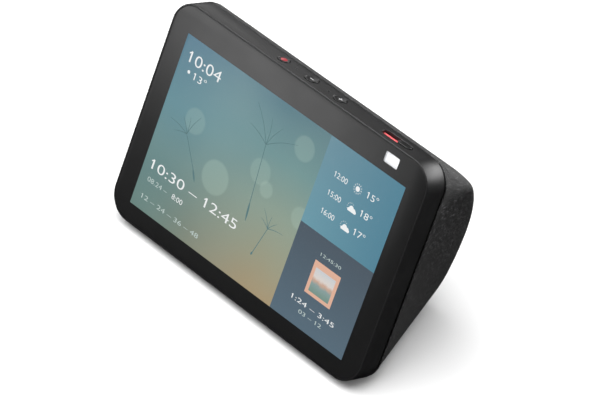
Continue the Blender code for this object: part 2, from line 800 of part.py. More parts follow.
def make_speaker(name, side):
    """One side-firing loudspeaker. Its own Z axis points out of the object's side."""
    behind, height = SPEAKER_PLACE
    hub = make_empty(
        name + "_axis", (side * SPEAKER_FACE, behind - BODY_DEPTH / 2, height), (0, side * math.pi / 2, 0)
    )
    radius = SPEAKER_RADIUS
    seat = 0.0205
    basket = [
        (radius, 0),
        (radius, -0.0014),
        (seat, -0.0014),
        (0.0135, -0.0130),
        (0.0060, -0.0130),
        (0.0060, -0.0120),
        (0.0127, -0.0120),
        (seat - 0.0010, 0),
    ]
    turned(name + "_basket", basket, (STEEL, 0.5, 0.7), hub)
    magnet = [
        (0, -0.0133),
        (0.0120, -0.0133),
        (0.0125, -0.0138),
        (0.0125, -0.0205),
        (0.0120, -0.0210),
        (0, -0.0210),
    ]
    turned(name + "_magnet", magnet, ((0.2, 0.2, 0.2), 0.4, 0.8), hub)
    cone = [
        (0, -0.0034),
        (0.0035, -0.0042),
        (0.0055, -0.0056),
        (0.0150, -0.0004),
        (0.0154, -0.0004),
        (0.0154, -0.0010),
        (0.0058, -0.0064),
        (0.0034, -0.0050),
        (0, -0.0042),
    ]
    turned(name + "_cone", cone, ((0.05, 0.05, 0.05), 0.7), hub)
    surround = [
        (0.0205, 0.0010),
        (0.0205, 0.0003),
        (0.0195, 0.0003),
        (0.0180, 0.0013),
        (0.0166, 0.0003),
        (0.0160, 0.0003),
        (0.0160, 0.0010),
        (0.0166, 0.0010),
        (0.0180, 0.0020),
        (0.0195, 0.0010),
    ]
    turned(name + "_surround", surround, ((0.02, 0.02, 0.02), 0.8), hub)


def make_radiator():
    """The passive bass radiator, a weighted plate on a rubber roll that faces the back."""
    behind, height = RADIATOR_PLACE
    hub = make_empty("radiator_axis", (0, behind - BODY_DEPTH / 2, height), (-math.pi / 2, 0, 0))
    radius = RADIATOR_RADIUS
    frame = [(radius, 0), (radius, -0.0025), (0.0240, -0.0025), (0.0240, 0)]
    turned("radiator_frame", frame, (BLACK, 0.5), hub)
    roll = [
        (0.0250, 0.0010),
        (0.0250, 0.0003),
        (0.0235, 0.0003),
        (0.0215, 0.0016),
        (0.0195, 0.0003),
        (0.0188, 0.0003),
        (0.0188, 0.0010),
        (0.0195, 0.0010),
        (0.0215, 0.0023),
        (0.0235, 0.0010),
    ]
    turned("radiator_surround", roll, ((0.02, 0.02, 0.02), 0.8), hub)
    plate = [
        (0, 0.0010),
        (0.0180, 0.0010),
        (0.0185, 0.0005),
        (0.0185, -0.0010),
        (0.0180, -0.0015),
        (0, -0.0015),
    ]
    turned("radiator_plate", plate, (STEEL, 0.4, 0.8), hub)


# Ribbons and leads


def ribbon(name, points, width, across):
    """A flat ribbon cable that bends through these (behind, up) points of the slab's frame."""
    thickness = 0.0003
    sides = ([], [])
    for index, point in enumerate(points):
        before = Vector(points[max(index - 1, 0)])
        after = Vector(points[min(index + 1, len(points) - 1)])
        direction = (after - before).normalized()
        normal = Vector((-direction.y, direction.x)) * thickness / 2
        sides[0].append(tuple(Vector(point) + normal))
        sides[1].append(tuple(Vector(point) - normal))
    outline = sides[0] + sides[1][::-1]
    turn = (math.pi / 2, 0, math.pi / 2)
    return outline_plate(name, outline, width, ((0.35, 0.20, 0.05), 0.4), SLAB, (across, 0, 0), turn)


def make_wiring():
    """Ribbons from the slab to the main board, and leads from it to the speakers and the inlet."""
    board_front = BOARD_DEPTH - 0.0004
    from_display = [(0.0064, 0.018), (0.0090, 0.020), (0.0112, 0.030), (0.0140, 0.040), (board_front, 0.044)]
    ribbon("display_ribbon", from_display, 0.024, 0)
    from_buttons = [
        (0.0118, 0.1270),
        (0.0118, 0.0700),
        (0.0122, 0.0560),
        (0.0150, 0.0500),
        (board_front, 0.0470),
    ]
    ribbon("button_ribbon", from_buttons, 0.006, -0.022)
    behind, height = SPEAKER_PLACE
    red = ((0.35, 0.02, 0.02), 0.5)
    for name, side in (("left", -1), ("right", 1)):
        start = (side * 0.0525, behind - BODY_DEPTH / 2, height)
        end = (side * 0.0365, 0.0415 - BODY_DEPTH / 2, 0.0615)
        tube("speaker_lead_" + name, smooth_route(start, end, (0, 0.006, 0.002)), 0.0008, red)
    across, low = INLET_PLACE
    start = (across - 0.002, 0.0800 - BODY_DEPTH / 2, low)
    end = (0.030, 0.0370 - BODY_DEPTH / 2, 0.047)
    tube("power_lead", smooth_route(start, end, (-0.004, 0.002, 0.002)), 0.0010, (BLACK, 0.5))


make_front()
make_buttons()
make_shutter()
make_body()
make_electronics()
for speaker_name, speaker_side in (("left_speaker", -1), ("right_speaker", 1)):
    make_speaker(speaker_name, speaker_side)
make_radiator()
make_wiring()
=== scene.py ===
"""Smart display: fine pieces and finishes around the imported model, with its stage, lights and camera.

The slab's own frame has X to the right, Y from the front glass into the object and Z up the face, and its
origin is at the middle of the slab's bottom front edge. Everything is in metres.
"""

import logging
import math
from collections.abc import Callable, Iterable
from dataclasses import dataclass, field
from enum import Enum

import bmesh
import bpy
from mathutils import Matrix, Vector


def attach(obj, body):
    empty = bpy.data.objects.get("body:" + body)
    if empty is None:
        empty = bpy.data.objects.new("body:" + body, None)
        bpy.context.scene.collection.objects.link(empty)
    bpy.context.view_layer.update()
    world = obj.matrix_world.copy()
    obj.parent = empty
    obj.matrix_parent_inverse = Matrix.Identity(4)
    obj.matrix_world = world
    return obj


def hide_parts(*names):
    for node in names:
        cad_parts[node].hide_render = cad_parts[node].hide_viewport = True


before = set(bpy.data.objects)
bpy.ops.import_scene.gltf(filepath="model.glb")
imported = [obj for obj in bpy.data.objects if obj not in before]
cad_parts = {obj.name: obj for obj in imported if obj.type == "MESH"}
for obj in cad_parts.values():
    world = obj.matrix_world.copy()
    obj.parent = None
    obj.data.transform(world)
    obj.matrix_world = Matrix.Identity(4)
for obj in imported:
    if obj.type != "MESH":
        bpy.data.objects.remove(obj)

LOG = logging.getLogger("smart_display")
Colour = tuple[float, float, float]
Point = tuple[float, float, float]

BODY = "display"
TILT = math.radians(16)
FACE_WIDTH = 0.2004
FACE_HEIGHT = 0.1361
FACE_RADIUS = 0.015
SLAB_DEPTH = 0.0145
BODY_DEPTH = 0.0991
FOOT_HEIGHT = 0.001
GAP = 0.0003
FACE_BOTTOM = FOOT_HEIGHT + SLAB_DEPTH * math.sin(TILT)
SCREEN_CENTRE = 0.0653
SCREEN_WIDTH = 0.1723
SCREEN_HEIGHT = 0.1077
CONTROL_DEPTH = 0.0073
WALL = 0.0022
SLAB = Matrix.Translation((0, -BODY_DEPTH / 2, FACE_BOTTOM)) @ Matrix.Rotation(-TILT, 4, "X")
PICTURE_DEPTH = 0.00095
PICTURE_PLACE = Matrix.Translation((-0.0006, PICTURE_DEPTH, SCREEN_CENTRE - 0.0004))
SCREEN = SLAB @ PICTURE_PLACE @ Matrix.Rotation(math.pi / 2, 4, "X")
KEYS = {"mic_camera": (-0.0235, 0.0035), "volume_down": (-0.0013, 0.004), "volume_up": (0.0210, 0.004)}
SLOT = (0.0548, 0.0762)
TOUCH = 1e-6


def shade(red: float, green: float, blue: float) -> Colour:
    """Turn display values from 0 to 255 into linear light."""
    return tuple(((v / 255 + 0.055) / 1.055) ** 2.4 if v > 10 else v / 3295 for v in (red, green, blue))


# Tools for shaping


class Shape:
    """One mesh object that is shaped with operators and then set in its place."""

    def __init__(self, name: str) -> None:
        """Take over the active object.

        Args:
            name: the name of the piece.
        """
        self.obj = bpy.context.object
        self.obj.name = self.obj.data.name = name

    @staticmethod
    def put_down() -> None:
        """Deselect every object."""
        bpy.ops.object.select_all(action="DESELECT")

    @classmethod
    def box(cls, name: str, low: Iterable[float], high: Iterable[float]) -> "Shape":
        """Start from a box.

        Args:
            name: the name of the piece.
            low: its lowest corner.
            high: its highest corner.

        Returns:
            The shape, with its size in its mesh.
        """
        low, high = Vector(low), Vector(high)
        cls.put_down()
        bpy.ops.mesh.primitive_cube_add(size=1, location=(low + high) / 2, scale=high - low)
        bpy.ops.object.transform_apply(location=True, rotation=True, scale=True)
        return cls(name)

    @classmethod
    def rod(
        cls, name: str, radius: float, low: float, high: float, centre: Point = (0, 0, 0), sides: int = 48
    ) -> "Shape":
        """Start from an upright round rod.

        Args:
            name: the name of the piece.
            radius: its radius.
            low: the height of its lower end above the centre.
            high: the height of its upper end above the centre.
            centre: a point on its axis.
            sides: how many sides it has.

        Returns:
            The shape, with its size in its mesh.
        """
        cls.put_down()
        middle = Vector(centre) + Vector((0, 0, (low + high) / 2))
        bpy.ops.mesh.primitive_cylinder_add(vertices=sides, radius=radius, depth=high - low, location=middle)
        bpy.ops.object.transform_apply(location=True, rotation=True, scale=True)
        return cls(name)

    def pick_up(self) -> None:
        """Select this object alone."""
        self.put_down()
        self.obj.select_set(True)
        bpy.context.view_layer.objects.active = self.obj

    def choose(self, kind: str, test: Callable[[object], bool]) -> None:
        """Enter edit mode with the faces or edges that pass a test selected.

        Args:
            kind: FACE or EDGE.
            test: takes a face or an edge, and says whether it is wanted.
        """
        self.pick_up()
        bpy.ops.object.mode_set(mode="EDIT")
        bpy.ops.mesh.select_mode(type=kind)
        bpy.ops.mesh.select_all(action="DESELECT")
        mesh = bmesh.from_edit_mesh(self.obj.data)
        for item in mesh.faces if kind == "FACE" else mesh.edges:
            if test(item):
                item.select_set(True)
        bmesh.update_edit_mesh(self.obj.data)

    def leave(self) -> "Shape":
        """Leave edit mode."""
        bpy.ops.object.mode_set(mode="OBJECT")
        return self

    def round_edges(self, test: Callable[[object], bool], radius: float, steps: int = 3) -> "Shape":
        """Round the edges that pass a test."""
        self.choose("EDGE", test)
        bpy.ops.mesh.bevel(offset=radius, segments=steps, profile=0.5, affect="EDGES", clamp_overlap=True)
        return self.leave()

    def round_corners(self, axis: int, radius: float, steps: int) -> "Shape":
        """Round the edges that run along one axis."""
        return self.round_edges(
            lambda e: abs((e.verts[1].co - e.verts[0].co).normalized()[axis]) > 0.99, radius, steps
        )

    def round_rim(self, axis: int, place: float, radius: float, steps: int = 3) -> "Shape":
        """Round all edges that lie in a plane across one axis."""
        return self.round_edges(lambda e: all(abs(v.co[axis] - place) < TOUCH for v in e.verts), radius, steps)

    def step_in(self, axis: int, sign: int, place: float, inset: float, move: float) -> "Shape":
        """Inset the flat face at a place and then extrude it along its axis.

        Args:
            axis: the face's normal axis.
            sign: which way the face looks along the axis.
            place: the face's position on the axis.
            inset: the width of the border that is left.
            move: how far the rest moves along the axis.

        Returns:
            This shape.
        """
        self.choose(
            "FACE", lambda f: f.normal[axis] * sign > 0.99 and abs(f.calc_center_median()[axis] - place) < TOUCH
        )
        if inset:
            bpy.ops.mesh.inset(thickness=inset)
        offset = [0.0, 0.0, 0.0]
        offset[axis] = move
        if move:
            bpy.ops.mesh.extrude_region_move(TRANSFORM_OT_translate={"value": offset})
        return self.leave()

    def carve(self, *cutters: "Shape", join: bool = False, solver: str = "EXACT") -> "Shape":
        """Cut other shapes out of this one, or join them to it, and remove them.

        Args:
            cutters: the other shapes.
            join: whether they are joined instead of cut out.
            solver: the Boolean's method.

        Returns:
            This shape.
        """
        for cutter in cutters:
            self.pick_up()
            boolean = self.obj.modifiers.new("cut", "BOOLEAN")
            boolean.operation = "UNION" if join else "DIFFERENCE"
            boolean.solver = solver
            boolean.object = cutter.obj
            bpy.ops.object.modifier_apply(modifier=boolean.name)
            bpy.data.objects.remove(cutter.obj)
        return self

    def gather(self, others: Iterable["Shape"]) -> "Shape":
        """Make other shapes part of this object."""
        self.pick_up()
        for other in others:
            other.obj.select_set(True)
        bpy.ops.object.join()
        return self

    def move(self, matrix: Matrix) -> "Shape":
        """Apply a placing to the mesh."""
        self.obj.data.transform(matrix)
        self.obj.data.update()
        return self

    def smooth(self, angle: float = 35) -> "Shape":
        """Shade smooth across edges flatter than an angle in degrees."""
        self.pick_up()
        bpy.ops.object.shade_smooth_by_angle(angle=math.radians(angle))
        return self

    def hand_over(
        self, finish: str, slot: str, body: str = BODY, stands_for: Iterable[str] = ()
    ) -> bpy.types.Object:
        """Give the piece its finish and its body.

        Args:
            finish: the name of its finish.
            slot: the record's material slot; not used.
            body: the CAD body that it moves with.
            stands_for: the CAD nodes that it replaces.

        Returns:
            The finished piece.
        """
        self.obj.data.materials.clear()
        self.obj.data.materials.append(MATERIALS[finish])
        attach(self.obj, body)
        if stands_for:
            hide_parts(*stands_for)
        LOG.info("made %s, %d faces", self.obj.name, len(self.obj.data.polygons))
        return self.obj


# Tools for finishes


class Nodes:
    """A material's or a group's node tree, with short ways to add to it."""

    def __init__(self, tree: bpy.types.NodeTree) -> None:
        """Wrap a node tree."""
        self.tree = tree

    def fill(self, node: bpy.types.Node, inputs: dict) -> None:
        """Give a node's inputs, by name or number, a value or an output each."""
        for key, value in inputs.items():
            socket = node.inputs[key]
            if isinstance(value, bpy.types.NodeSocket):
                self.tree.links.new(value, socket)
            elif socket.type == "RGBA" and len(value) == 3:
                socket.default_value = (*value, 1)
            else:
                socket.default_value = value

    def add(self, kind: str, inputs: dict | None = None, **settings: object) -> bpy.types.Node:
        """Add a node.

        Args:
            kind: the node's type.
            inputs: a value or an output for each input, by name or number.
            settings: the node's own settings.

        Returns:
            The node.
        """
        node = self.tree.nodes.new(kind)
        for key, value in settings.items():
            setattr(node, key, value)
        self.fill(node, inputs or {})
        return node

    def math(self, operation: str, *values: object) -> bpy.types.NodeSocket:
        """The result of a Math node."""
        return self.add("ShaderNodeMath", dict(enumerate(values)), operation=operation).outputs[0]

    def plus(self, *values: object) -> bpy.types.NodeSocket:
        """The sum of two numbers."""
        return self.math("ADD", *values)

    def minus(self, *values: object) -> bpy.types.NodeSocket:
        """The first of two numbers less the second."""
        return self.math("SUBTRACT", *values)

    def times(self, *values: object) -> bpy.types.NodeSocket:
        """The product of two numbers."""
        return self.math("MULTIPLY", *values)

    def blend(self, factor: object, first: object, second: object) -> bpy.types.NodeSocket:
        """A mix of two colours."""
        return self.add("ShaderNodeMix", {0: factor, 6: first, 7: second}, data_type="RGBA").outputs[2]

    def span(self, value: object, *ends: object, soft: bool = False) -> bpy.types.NodeSocket:
        """A number that follows another one and stays inside its range.

        Args:
            value: the number that is followed.
            ends: where it starts and ends, and then what the result starts and ends at if not 0 and 1.
            soft: whether the result eases in and out.

        Returns:
            The result.
        """
        kind = "SMOOTHSTEP" if soft else "LINEAR"
        return self.add(
            "ShaderNodeMapRange", {0: value, **dict(enumerate(ends, 1))}, interpolation_type=kind
        ).outputs[0]

    def between(self, factor: object, low: float, high: float) -> bpy.types.NodeSocket:
        """A number that runs from low to high with a mask."""
        return self.span(factor, 0.0, 1.0, low, high)

    def ramp(self, factor: object, stops: Iterable[tuple[float, Point]]) -> bpy.types.NodeSocket:
        """A colour that runs through stops, each a place and display values."""
        node = self.add("ShaderNodeValToRGB", {0: factor})
        stops = list(stops)
        elements = node.color_ramp.elements
        while len(elements) < len(stops):
            elements.new(0.5)
        for element, (place, values) in zip(elements, stops):
            element.position = place
            element.color = (*shade(*values), 1)
        return node.outputs[0]

    def noise(
        self, vector: object, scale: object, detail: float, roughness: float = 0.5
    ) -> bpy.types.NodeSocket:
        """Soft noise from 0 to 1."""
        inputs = {"Vector": vector, "Scale": scale, "Detail": detail, "Roughness": roughness}
        return self.add("ShaderNodeTexNoise", inputs).outputs[0]

    def where(self) -> bpy.types.NodeSocket:
        """Places in the object's own frame."""
        return self.add("ShaderNodeTexCoord").outputs["Object"]

    def on_slab(self, origin: Iterable[float]) -> bpy.types.NodeSocket:
        """Places along the slab's axes, measured from a point."""
        inputs = {"Vector": self.where(), "Location": origin, "Rotation": (-TILT, 0, 0)}
        return self.add("ShaderNodeMapping", inputs, vector_type="TEXTURE").outputs[0]

    def bump(self, height: object, distance: float, strength: float = 1.0) -> bpy.types.NodeSocket:
        """A normal that follows a height."""
        inputs = {"Height": height, "Distance": distance, "Strength": strength}
        return self.add("ShaderNodeBump", inputs).outputs[0]


def new_group(
    name: str, inputs: dict[str, float | None], outputs: Iterable[str]
) -> tuple[Nodes, object, object]:
    """Start a shader node group.

    Args:
        name: the group's name.
        inputs: each input's usual value, or None for a vector.
        outputs: the names of its outputs, all masks or heights.

    Returns:
        Its nodes, what it is given and the node that takes its results.
    """
    group = bpy.data.node_groups.new(name, "ShaderNodeTree")
    for key, value in inputs.items():
        kind = "NodeSocketVector" if value is None else "NodeSocketFloat"
        socket = group.interface.new_socket(name=key, in_out="INPUT", socket_type=kind)
        if value is not None:
            socket.default_value = value
    for key in outputs:
        group.interface.new_socket(name=key, in_out="OUTPUT", socket_type="NodeSocketFloat")
    nodes = Nodes(group)
    return nodes, nodes.add("NodeGroupInput").outputs, nodes.add("NodeGroupOutput")


def grain_group() -> bpy.types.NodeTree:
    """Fine grain over slow patches, for moulded, cast and brushed surfaces."""
    nodes, given, result = new_group(
        "surface_grain", {"Vector": None, "Size": 0.0005, "Patch": 0.02}, ("Fine", "Patches", "Height")
    )
    vector = given["Vector"]
    fine_scale = nodes.math("DIVIDE", 1.0, given["Size"])
    fine = nodes.noise(vector, fine_scale, 3.0)
    patches = nodes.noise(vector, nodes.math("DIVIDE", 1.0, given["Patch"]), 4.0, 0.6)
    pits = nodes.add("ShaderNodeTexVoronoi", {"Vector": vector, "Scale": fine_scale}).outputs[0]
    height = nodes.plus(nodes.times(fine, 0.7), nodes.times(pits, 0.3))
    nodes.fill(result, {"Fine": fine, "Patches": patches, "Height": height})
    return nodes.tree


def window_group() -> bpy.types.NodeTree:
    """A mask that is 1 inside a rectangle with rounded corners, across the slab's face."""
    names = ("Centre X", "Centre Z", "Half X", "Half Z", "Radius", "Edge")
    nodes, given, result = new_group("rounded_window", {"Vector": None, **dict.fromkeys(names, 0.0)}, ("Mask",))
    place = nodes.add("ShaderNodeSeparateXYZ", {0: given["Vector"]}).outputs
    squares = []
    for axis in "XZ":
        away = nodes.math("ABSOLUTE", nodes.minus(place[axis], given["Centre " + axis]))
        inner = nodes.minus(given["Half " + axis], given["Radius"])
        squares.append(nodes.math("POWER", nodes.math("MAXIMUM", nodes.minus(away, inner), 0.0), 2.0))
    past = nodes.minus(nodes.math("SQRT", nodes.plus(*squares)), given["Radius"])
    nodes.fill(result, {"Mask": nodes.span(past, given["Edge"], 0.0, soft=True)})
    return nodes.tree


def knit_group() -> bpy.types.NodeTree:
    """Columns of V-shaped stitches over lengths of cloth in metres."""
    nodes, given, result = new_group("knit_stitches", {"Vector": None, "Pitch": 0.001}, ("Height",))
    cloth = nodes.add("ShaderNodeSeparateXYZ", {0: given["Vector"]}).outputs
    drift = nodes.times(nodes.minus(nodes.noise(given["Vector"], 180.0, 1.0), 0.5), 0.5)
    across = nodes.plus(nodes.math("DIVIDE", cloth[0], given["Pitch"]), drift)
    along = nodes.plus(nodes.math("DIVIDE", cloth[1], given["Pitch"]), drift)
    half = nodes.math("ABSOLUTE", nodes.minus(nodes.math("FRACT", across), 0.5))
    leg = nodes.math("SINE", nodes.times(nodes.math("FRACT", nodes.times(across, 2.0)), math.pi))
    slant = nodes.times(nodes.plus(along, nodes.times(half, 1.1)), 2 * math.pi)
    row = nodes.plus(nodes.times(nodes.math("SINE", slant), 0.5), 0.5)
    nodes.fill(result, {"Height": nodes.times(nodes.math("POWER", leg, 0.6), nodes.between(row, 0.35, 1.0))})
    return nodes.tree


GRAIN = grain_group()
WINDOW = window_group()
KNIT = knit_group()


class Grain(Enum):
    """How a surface's grain runs: a stretch for each axis of the object."""

    EVEN = (1.0, 1.0, 1.0)
    BRUSHED_X = (0.06, 1.0, 1.0)
    BRUSHED_Z = (1.0, 1.0, 0.06)


class Surface:
    """What all finishes share: each has a name and a paint method that fills in its shader."""

    name: str

    def build(self) -> bpy.types.Material:
        """Make the material."""
        material = bpy.data.materials.new(self.name)
        material.use_nodes = True
        self.paint(Nodes(material.node_tree), material.node_tree.nodes["Principled BSDF"])
        return material

    @staticmethod
    def light_up(nodes: Nodes, shader: bpy.types.Node, colour: bpy.types.NodeSocket) -> None:
        """Let a surface give off a colour, and keep the lamps' light off it."""
        screen_and_painted_glow = {"Emission Color": colour, "Emission Strength": 1.0}
        nodes.fill(shader, {**screen_and_painted_glow, "Base Color": (0.002, 0.002, 0.002), "Specular IOR Level": 0.1})


@dataclass(frozen=True)
class Finish(Surface):
    """A moulded, pressed, brushed or painted surface, with an optional painted glow in its own colour though it
    is no lamp.
    """

    name: str
    base: Colour
    second: Colour
    roughness: tuple[float, float]
    metallic: float = 0.0
    specular: float = 0.5
    grain: Grain = Grain.EVEN
    size: float = 0.0004
    patch: float = 0.02
    relief: float = 0.00001
    sheen: float = 0.0
    # painted glow: how strongly the surface gives off its own colour, though it is no lamp
    screen_and_painted_glow: float = 0.0

    def paint(self, nodes: Nodes, shader: bpy.types.Node) -> None:
        """Fill in the shader."""
        turned = nodes.add("ShaderNodeMapping", {"Vector": nodes.where(), "Scale": self.grain.value}).outputs[0]
        given = {"Vector": turned, "Size": self.size, "Patch": self.patch}
        grain = nodes.add("ShaderNodeGroup", given, node_tree=GRAIN).outputs
        speckle = nodes.times(nodes.plus(grain["Fine"], grain["Patches"]), 0.5)
        colour = nodes.blend(nodes.between(speckle, -0.6, 1.6), self.base, self.second)
        nodes.fill(shader, {
            "Base Color": colour,
            "Roughness": nodes.between(grain["Patches"], *self.roughness),
            "Normal": nodes.bump(grain["Height"], self.relief),
            "Metallic": self.metallic,
            "Specular IOR Level": self.specular,
            "Sheen Weight": self.sheen,
        })
        # Painted glow: the surface gives off its own colour as if lit, though it is no lamp.
        if self.screen_and_painted_glow:
            nodes.fill(shader, {"Emission Color": colour, "Emission Strength": self.screen_and_painted_glow})


@dataclass(frozen=True)
class KnitFinish(Surface):
    """Fine charcoal knit with lighter fibres in it."""

    name: str = "charcoal_knit"
    dark: Colour = (0.003, 0.003, 0.0035)
    light: Colour = (0.135, 0.136, 0.141)
    pitch: float = 0.0013

    def paint(self, nodes: Nodes, shader: bpy.types.Node) -> None:
        """Fill in the shader."""
        cloth = nodes.add("ShaderNodeUVMap", uv_map="cloth").outputs[0]
        given = {"Vector": cloth, "Pitch": self.pitch}
        knit = nodes.add("ShaderNodeGroup", given, node_tree=KNIT).outputs["Height"]
        fibres = nodes.noise(cloth, 800.0, 4.0, 0.7)
        spots = nodes.span(nodes.noise(cloth, 420.0, 2.0, 0.65), 0.50, 0.66)
        tone = nodes.times(nodes.between(knit, 0.15, 1.0), nodes.span(fibres, 0.44, 0.66))
        tone = nodes.times(tone, nodes.between(spots, 0.10, 1.5))
        nodes.fill(shader, {
            "Base Color": nodes.blend(tone, self.dark, self.light),
            "Roughness": nodes.between(fibres, 0.52, 0.70),
            "Normal": nodes.bump(nodes.plus(knit, nodes.times(fibres, 0.6)), 0.00022, 0.8),
            "Specular IOR Level": 0.75,
        })


@dataclass(frozen=True)
class GlassFinish(Surface):
    """Cover glass with a dark print on its back that leaves the screen and the camera clear."""

    name: str = "printed_glass"
    print_colour: Colour = (0.0060, 0.0060, 0.0062)
    clear: float = 0.05
    edge: float = 0.00008
    print_depth: float = 0.0005
    openings: tuple = (
        (0.0, SCREEN_CENTRE, SCREEN_WIDTH / 2, SCREEN_HEIGHT / 2, 0.0003),
        (0.07145, 0.1277, 0.00505, 0.0031, 0.0006),
    )

    def paint(self, nodes: Nodes, shader: bpy.types.Node) -> None:
        """Fill in the shader."""
        place = nodes.on_slab(SLAB.translation)
        names = ("Centre X", "Centre Z", "Half X", "Half Z", "Radius")
        masks = []
        for opening in self.openings:
            given = {"Vector": place, **dict(zip(names, opening)), "Edge": self.edge}
            masks.append(nodes.add("ShaderNodeGroup", given, node_tree=WINDOW).outputs["Mask"])
        depth = nodes.add("ShaderNodeSeparateXYZ", {0: place}).outputs[1]
        front = nodes.math("LESS_THAN", depth, self.print_depth)
        tint = tuple(v * 1.35 for v in self.print_colour)
        nodes.fill(shader, {
            "Base Color": nodes.blend(nodes.noise(place, 2600.0, 2.0), self.print_colour, tint),
            "Roughness": nodes.between(nodes.noise(place, 28.0, 5.0, 0.65), 0.30, 0.40),
            "Alpha": nodes.times(nodes.between(nodes.math("MAXIMUM", *masks), 1.0, self.clear), front),
            "Specular IOR Level": 0.35,
        })


@dataclass(frozen=True)
class PictureFinish(Surface):
    """The screen's own picture: soft light discs over a blue to sand sky, and two tiles at the right."""

    name: str = "screen_picture"
    split: float = 0.02855
    tile_split: float = 0.0004
    left: tuple = ((0.0, (99, 126, 121)), (0.35, (104, 137, 139)), (0.62, (97, 140, 153)), (1.0, (84, 122, 145)))
    right: tuple = (
        (0.0, (173, 149, 112)), (0.2, (160, 155, 128)), (0.45, (145, 160, 144)),
        (0.72, (112, 148, 148)), (1.0, (88, 122, 133)),
    )
    upper_tile: tuple = ((0.5, (110, 157, 172)), (1.0, (110, 146, 160)))
    lower_tile: tuple = ((0.0, (90, 110, 124)), (0.5, (80, 92, 103)))
    discs: tuple = (
        (0.01455, 0.03705, 0.0073, 0.16), (-0.0621, 0.0114, 0.0075, 0.14), (-0.0083, 0.0099, 0.0075, 0.14),
        (-0.0005, 0.0029, 0.0048, 0.18), (-0.0362, -0.0098, 0.0100, 0.20), (0.0275, 0.0008, 0.0065, 0.16),
        (-0.0420, 0.0330, 0.0210, 0.10),
    )

    def paint(self, nodes: Nodes, shader: bpy.types.Node) -> None:
        """Fill in the shader."""
        place = nodes.on_slab(SLAB @ Vector((0, 0, SCREEN_CENTRE)))
        x, _, z = nodes.add("ShaderNodeSeparateXYZ", {0: place}).outputs
        half_x, half_z = SCREEN_WIDTH / 2, SCREEN_HEIGHT / 2
        rise = nodes.span(z, -half_z, half_z)
        run = nodes.span(x, -half_x, self.split, soft=True)
        sky = nodes.blend(run, nodes.ramp(rise, self.left), nodes.ramp(rise, self.right))
        haze = nodes.noise(place, 26.0, 1.0)
        sky = nodes.blend(nodes.between(haze, 0.0, 0.25), sky, shade(150, 178, 170))
        for disc_x, disc_z, radius, weight in self.discs:
            ends = {0: place, 1: (disc_x, 0, disc_z)}
            away = nodes.add("ShaderNodeVectorMath", ends, operation="DISTANCE").outputs["Value"]
            soft = 0.0009 if radius < 0.02 else 0.02
            disc = nodes.span(away, radius + soft, radius - soft, 0.0, weight, soft=True)
            sky = nodes.blend(disc, sky, shade(190, 215, 200))
        across = nodes.span(x, self.split, half_x)
        upper = nodes.blend(across, nodes.ramp(rise, self.upper_tile), shade(86, 134, 154))
        lower = nodes.ramp(rise, self.lower_tile)
        tile = nodes.blend(nodes.math("GREATER_THAN", z, self.tile_split), lower, upper)
        self.light_up(nodes, shader, nodes.blend(nodes.math("GREATER_THAN", x, self.split), sky, tile))
        nodes.fill(shader, {"Roughness": 0.25})


@dataclass(frozen=True)
class CardFinish(Surface):
    """The small square picture in the lower tile: a plain shore under a pale sky."""

    name: str = "card_picture"
    centre: tuple = (0.0573, 0, SCREEN_CENTRE - 0.0232)
    half: float = 0.0077
    ripple: float = 0.0030
    stops: tuple = (
        (0.0, (122, 150, 140)), (0.30, (140, 162, 160)), (0.44, (205, 170, 150)),
        (0.56, (222, 214, 208)), (1.0, (196, 206, 214)),
    )

    def paint(self, nodes: Nodes, shader: bpy.types.Node) -> None:
        """Fill in the shader."""
        place = nodes.on_slab(SLAB @ Vector(self.centre))
        ripple = nodes.times(nodes.minus(nodes.noise(place, 420.0, 3.0), 0.5), self.ripple)
        height = nodes.plus(nodes.add("ShaderNodeSeparateXYZ", {0: place}).outputs[2], ripple)
        self.light_up(nodes, shader, nodes.ramp(nodes.span(height, -self.half, self.half), self.stops))


@dataclass(frozen=True)
class LitFinish(Surface):
    """A mark on the screen that is lit by the screen itself."""

    name: str
    colour: Colour

    def paint(self, nodes: Nodes, shader: bpy.types.Node) -> None:
        """Fill in the shader."""
        dots = nodes.noise(nodes.where(), 3000.0, 0.0)
        self.light_up(nodes, shader, nodes.blend(dots, tuple(v * 0.93 for v in self.colour), self.colour))


@dataclass(frozen=True)
class BoardFinish(Surface):
    """A circuit board with lighter copper traces under its lacquer."""

    name: str = "board"
    base: Colour = (0.008, 0.060, 0.035)
    trace: Colour = (0.030, 0.150, 0.080)
    pad: Colour = (0.50, 0.48, 0.40)

    def paint(self, nodes: Nodes, shader: bpy.types.Node) -> None:
        """Fill in the shader."""
        where = nodes.where()
        cells = nodes.add("ShaderNodeTexVoronoi", {"Vector": where, "Scale": 420.0}, distance="CHEBYCHEV")
        wave = {"Vector": where, "Scale": 260.0, "Distortion": 3.0, "Detail": 0.0}
        lines = nodes.add("ShaderNodeTexWave", wave)
        mask = nodes.math("GREATER_THAN", lines.outputs[1], 0.72)
        pads = nodes.math("LESS_THAN", cells.outputs[0], 0.16)
        nodes.fill(shader, {
            "Base Color": nodes.blend(pads, nodes.blend(mask, self.base, self.trace), self.pad),
            "Roughness": nodes.between(pads, 0.38, 0.25),
            "Normal": nodes.bump(mask, 0.00003, 0.7),
        })


@dataclass(frozen=True)
class FloorFinish(Surface):
    """A matt, pale floor."""

    name: str = "pale_floor"

    def paint(self, nodes: Nodes, shader: bpy.types.Node) -> None:
        """Fill in the shader."""
        paper = nodes.blend(nodes.noise(nodes.where(), 3.0, 2.0), (0.90, 0.90, 0.90), (0.93, 0.93, 0.93))
        nodes.fill(shader, {"Base Color": paper, "Roughness": 0.9, "Specular IOR Level": 0.0})


def grey(value: float, blue: float = 0.0) -> Colour:
    """A grey, with a little more blue if asked."""
    return (value, value, value + blue)


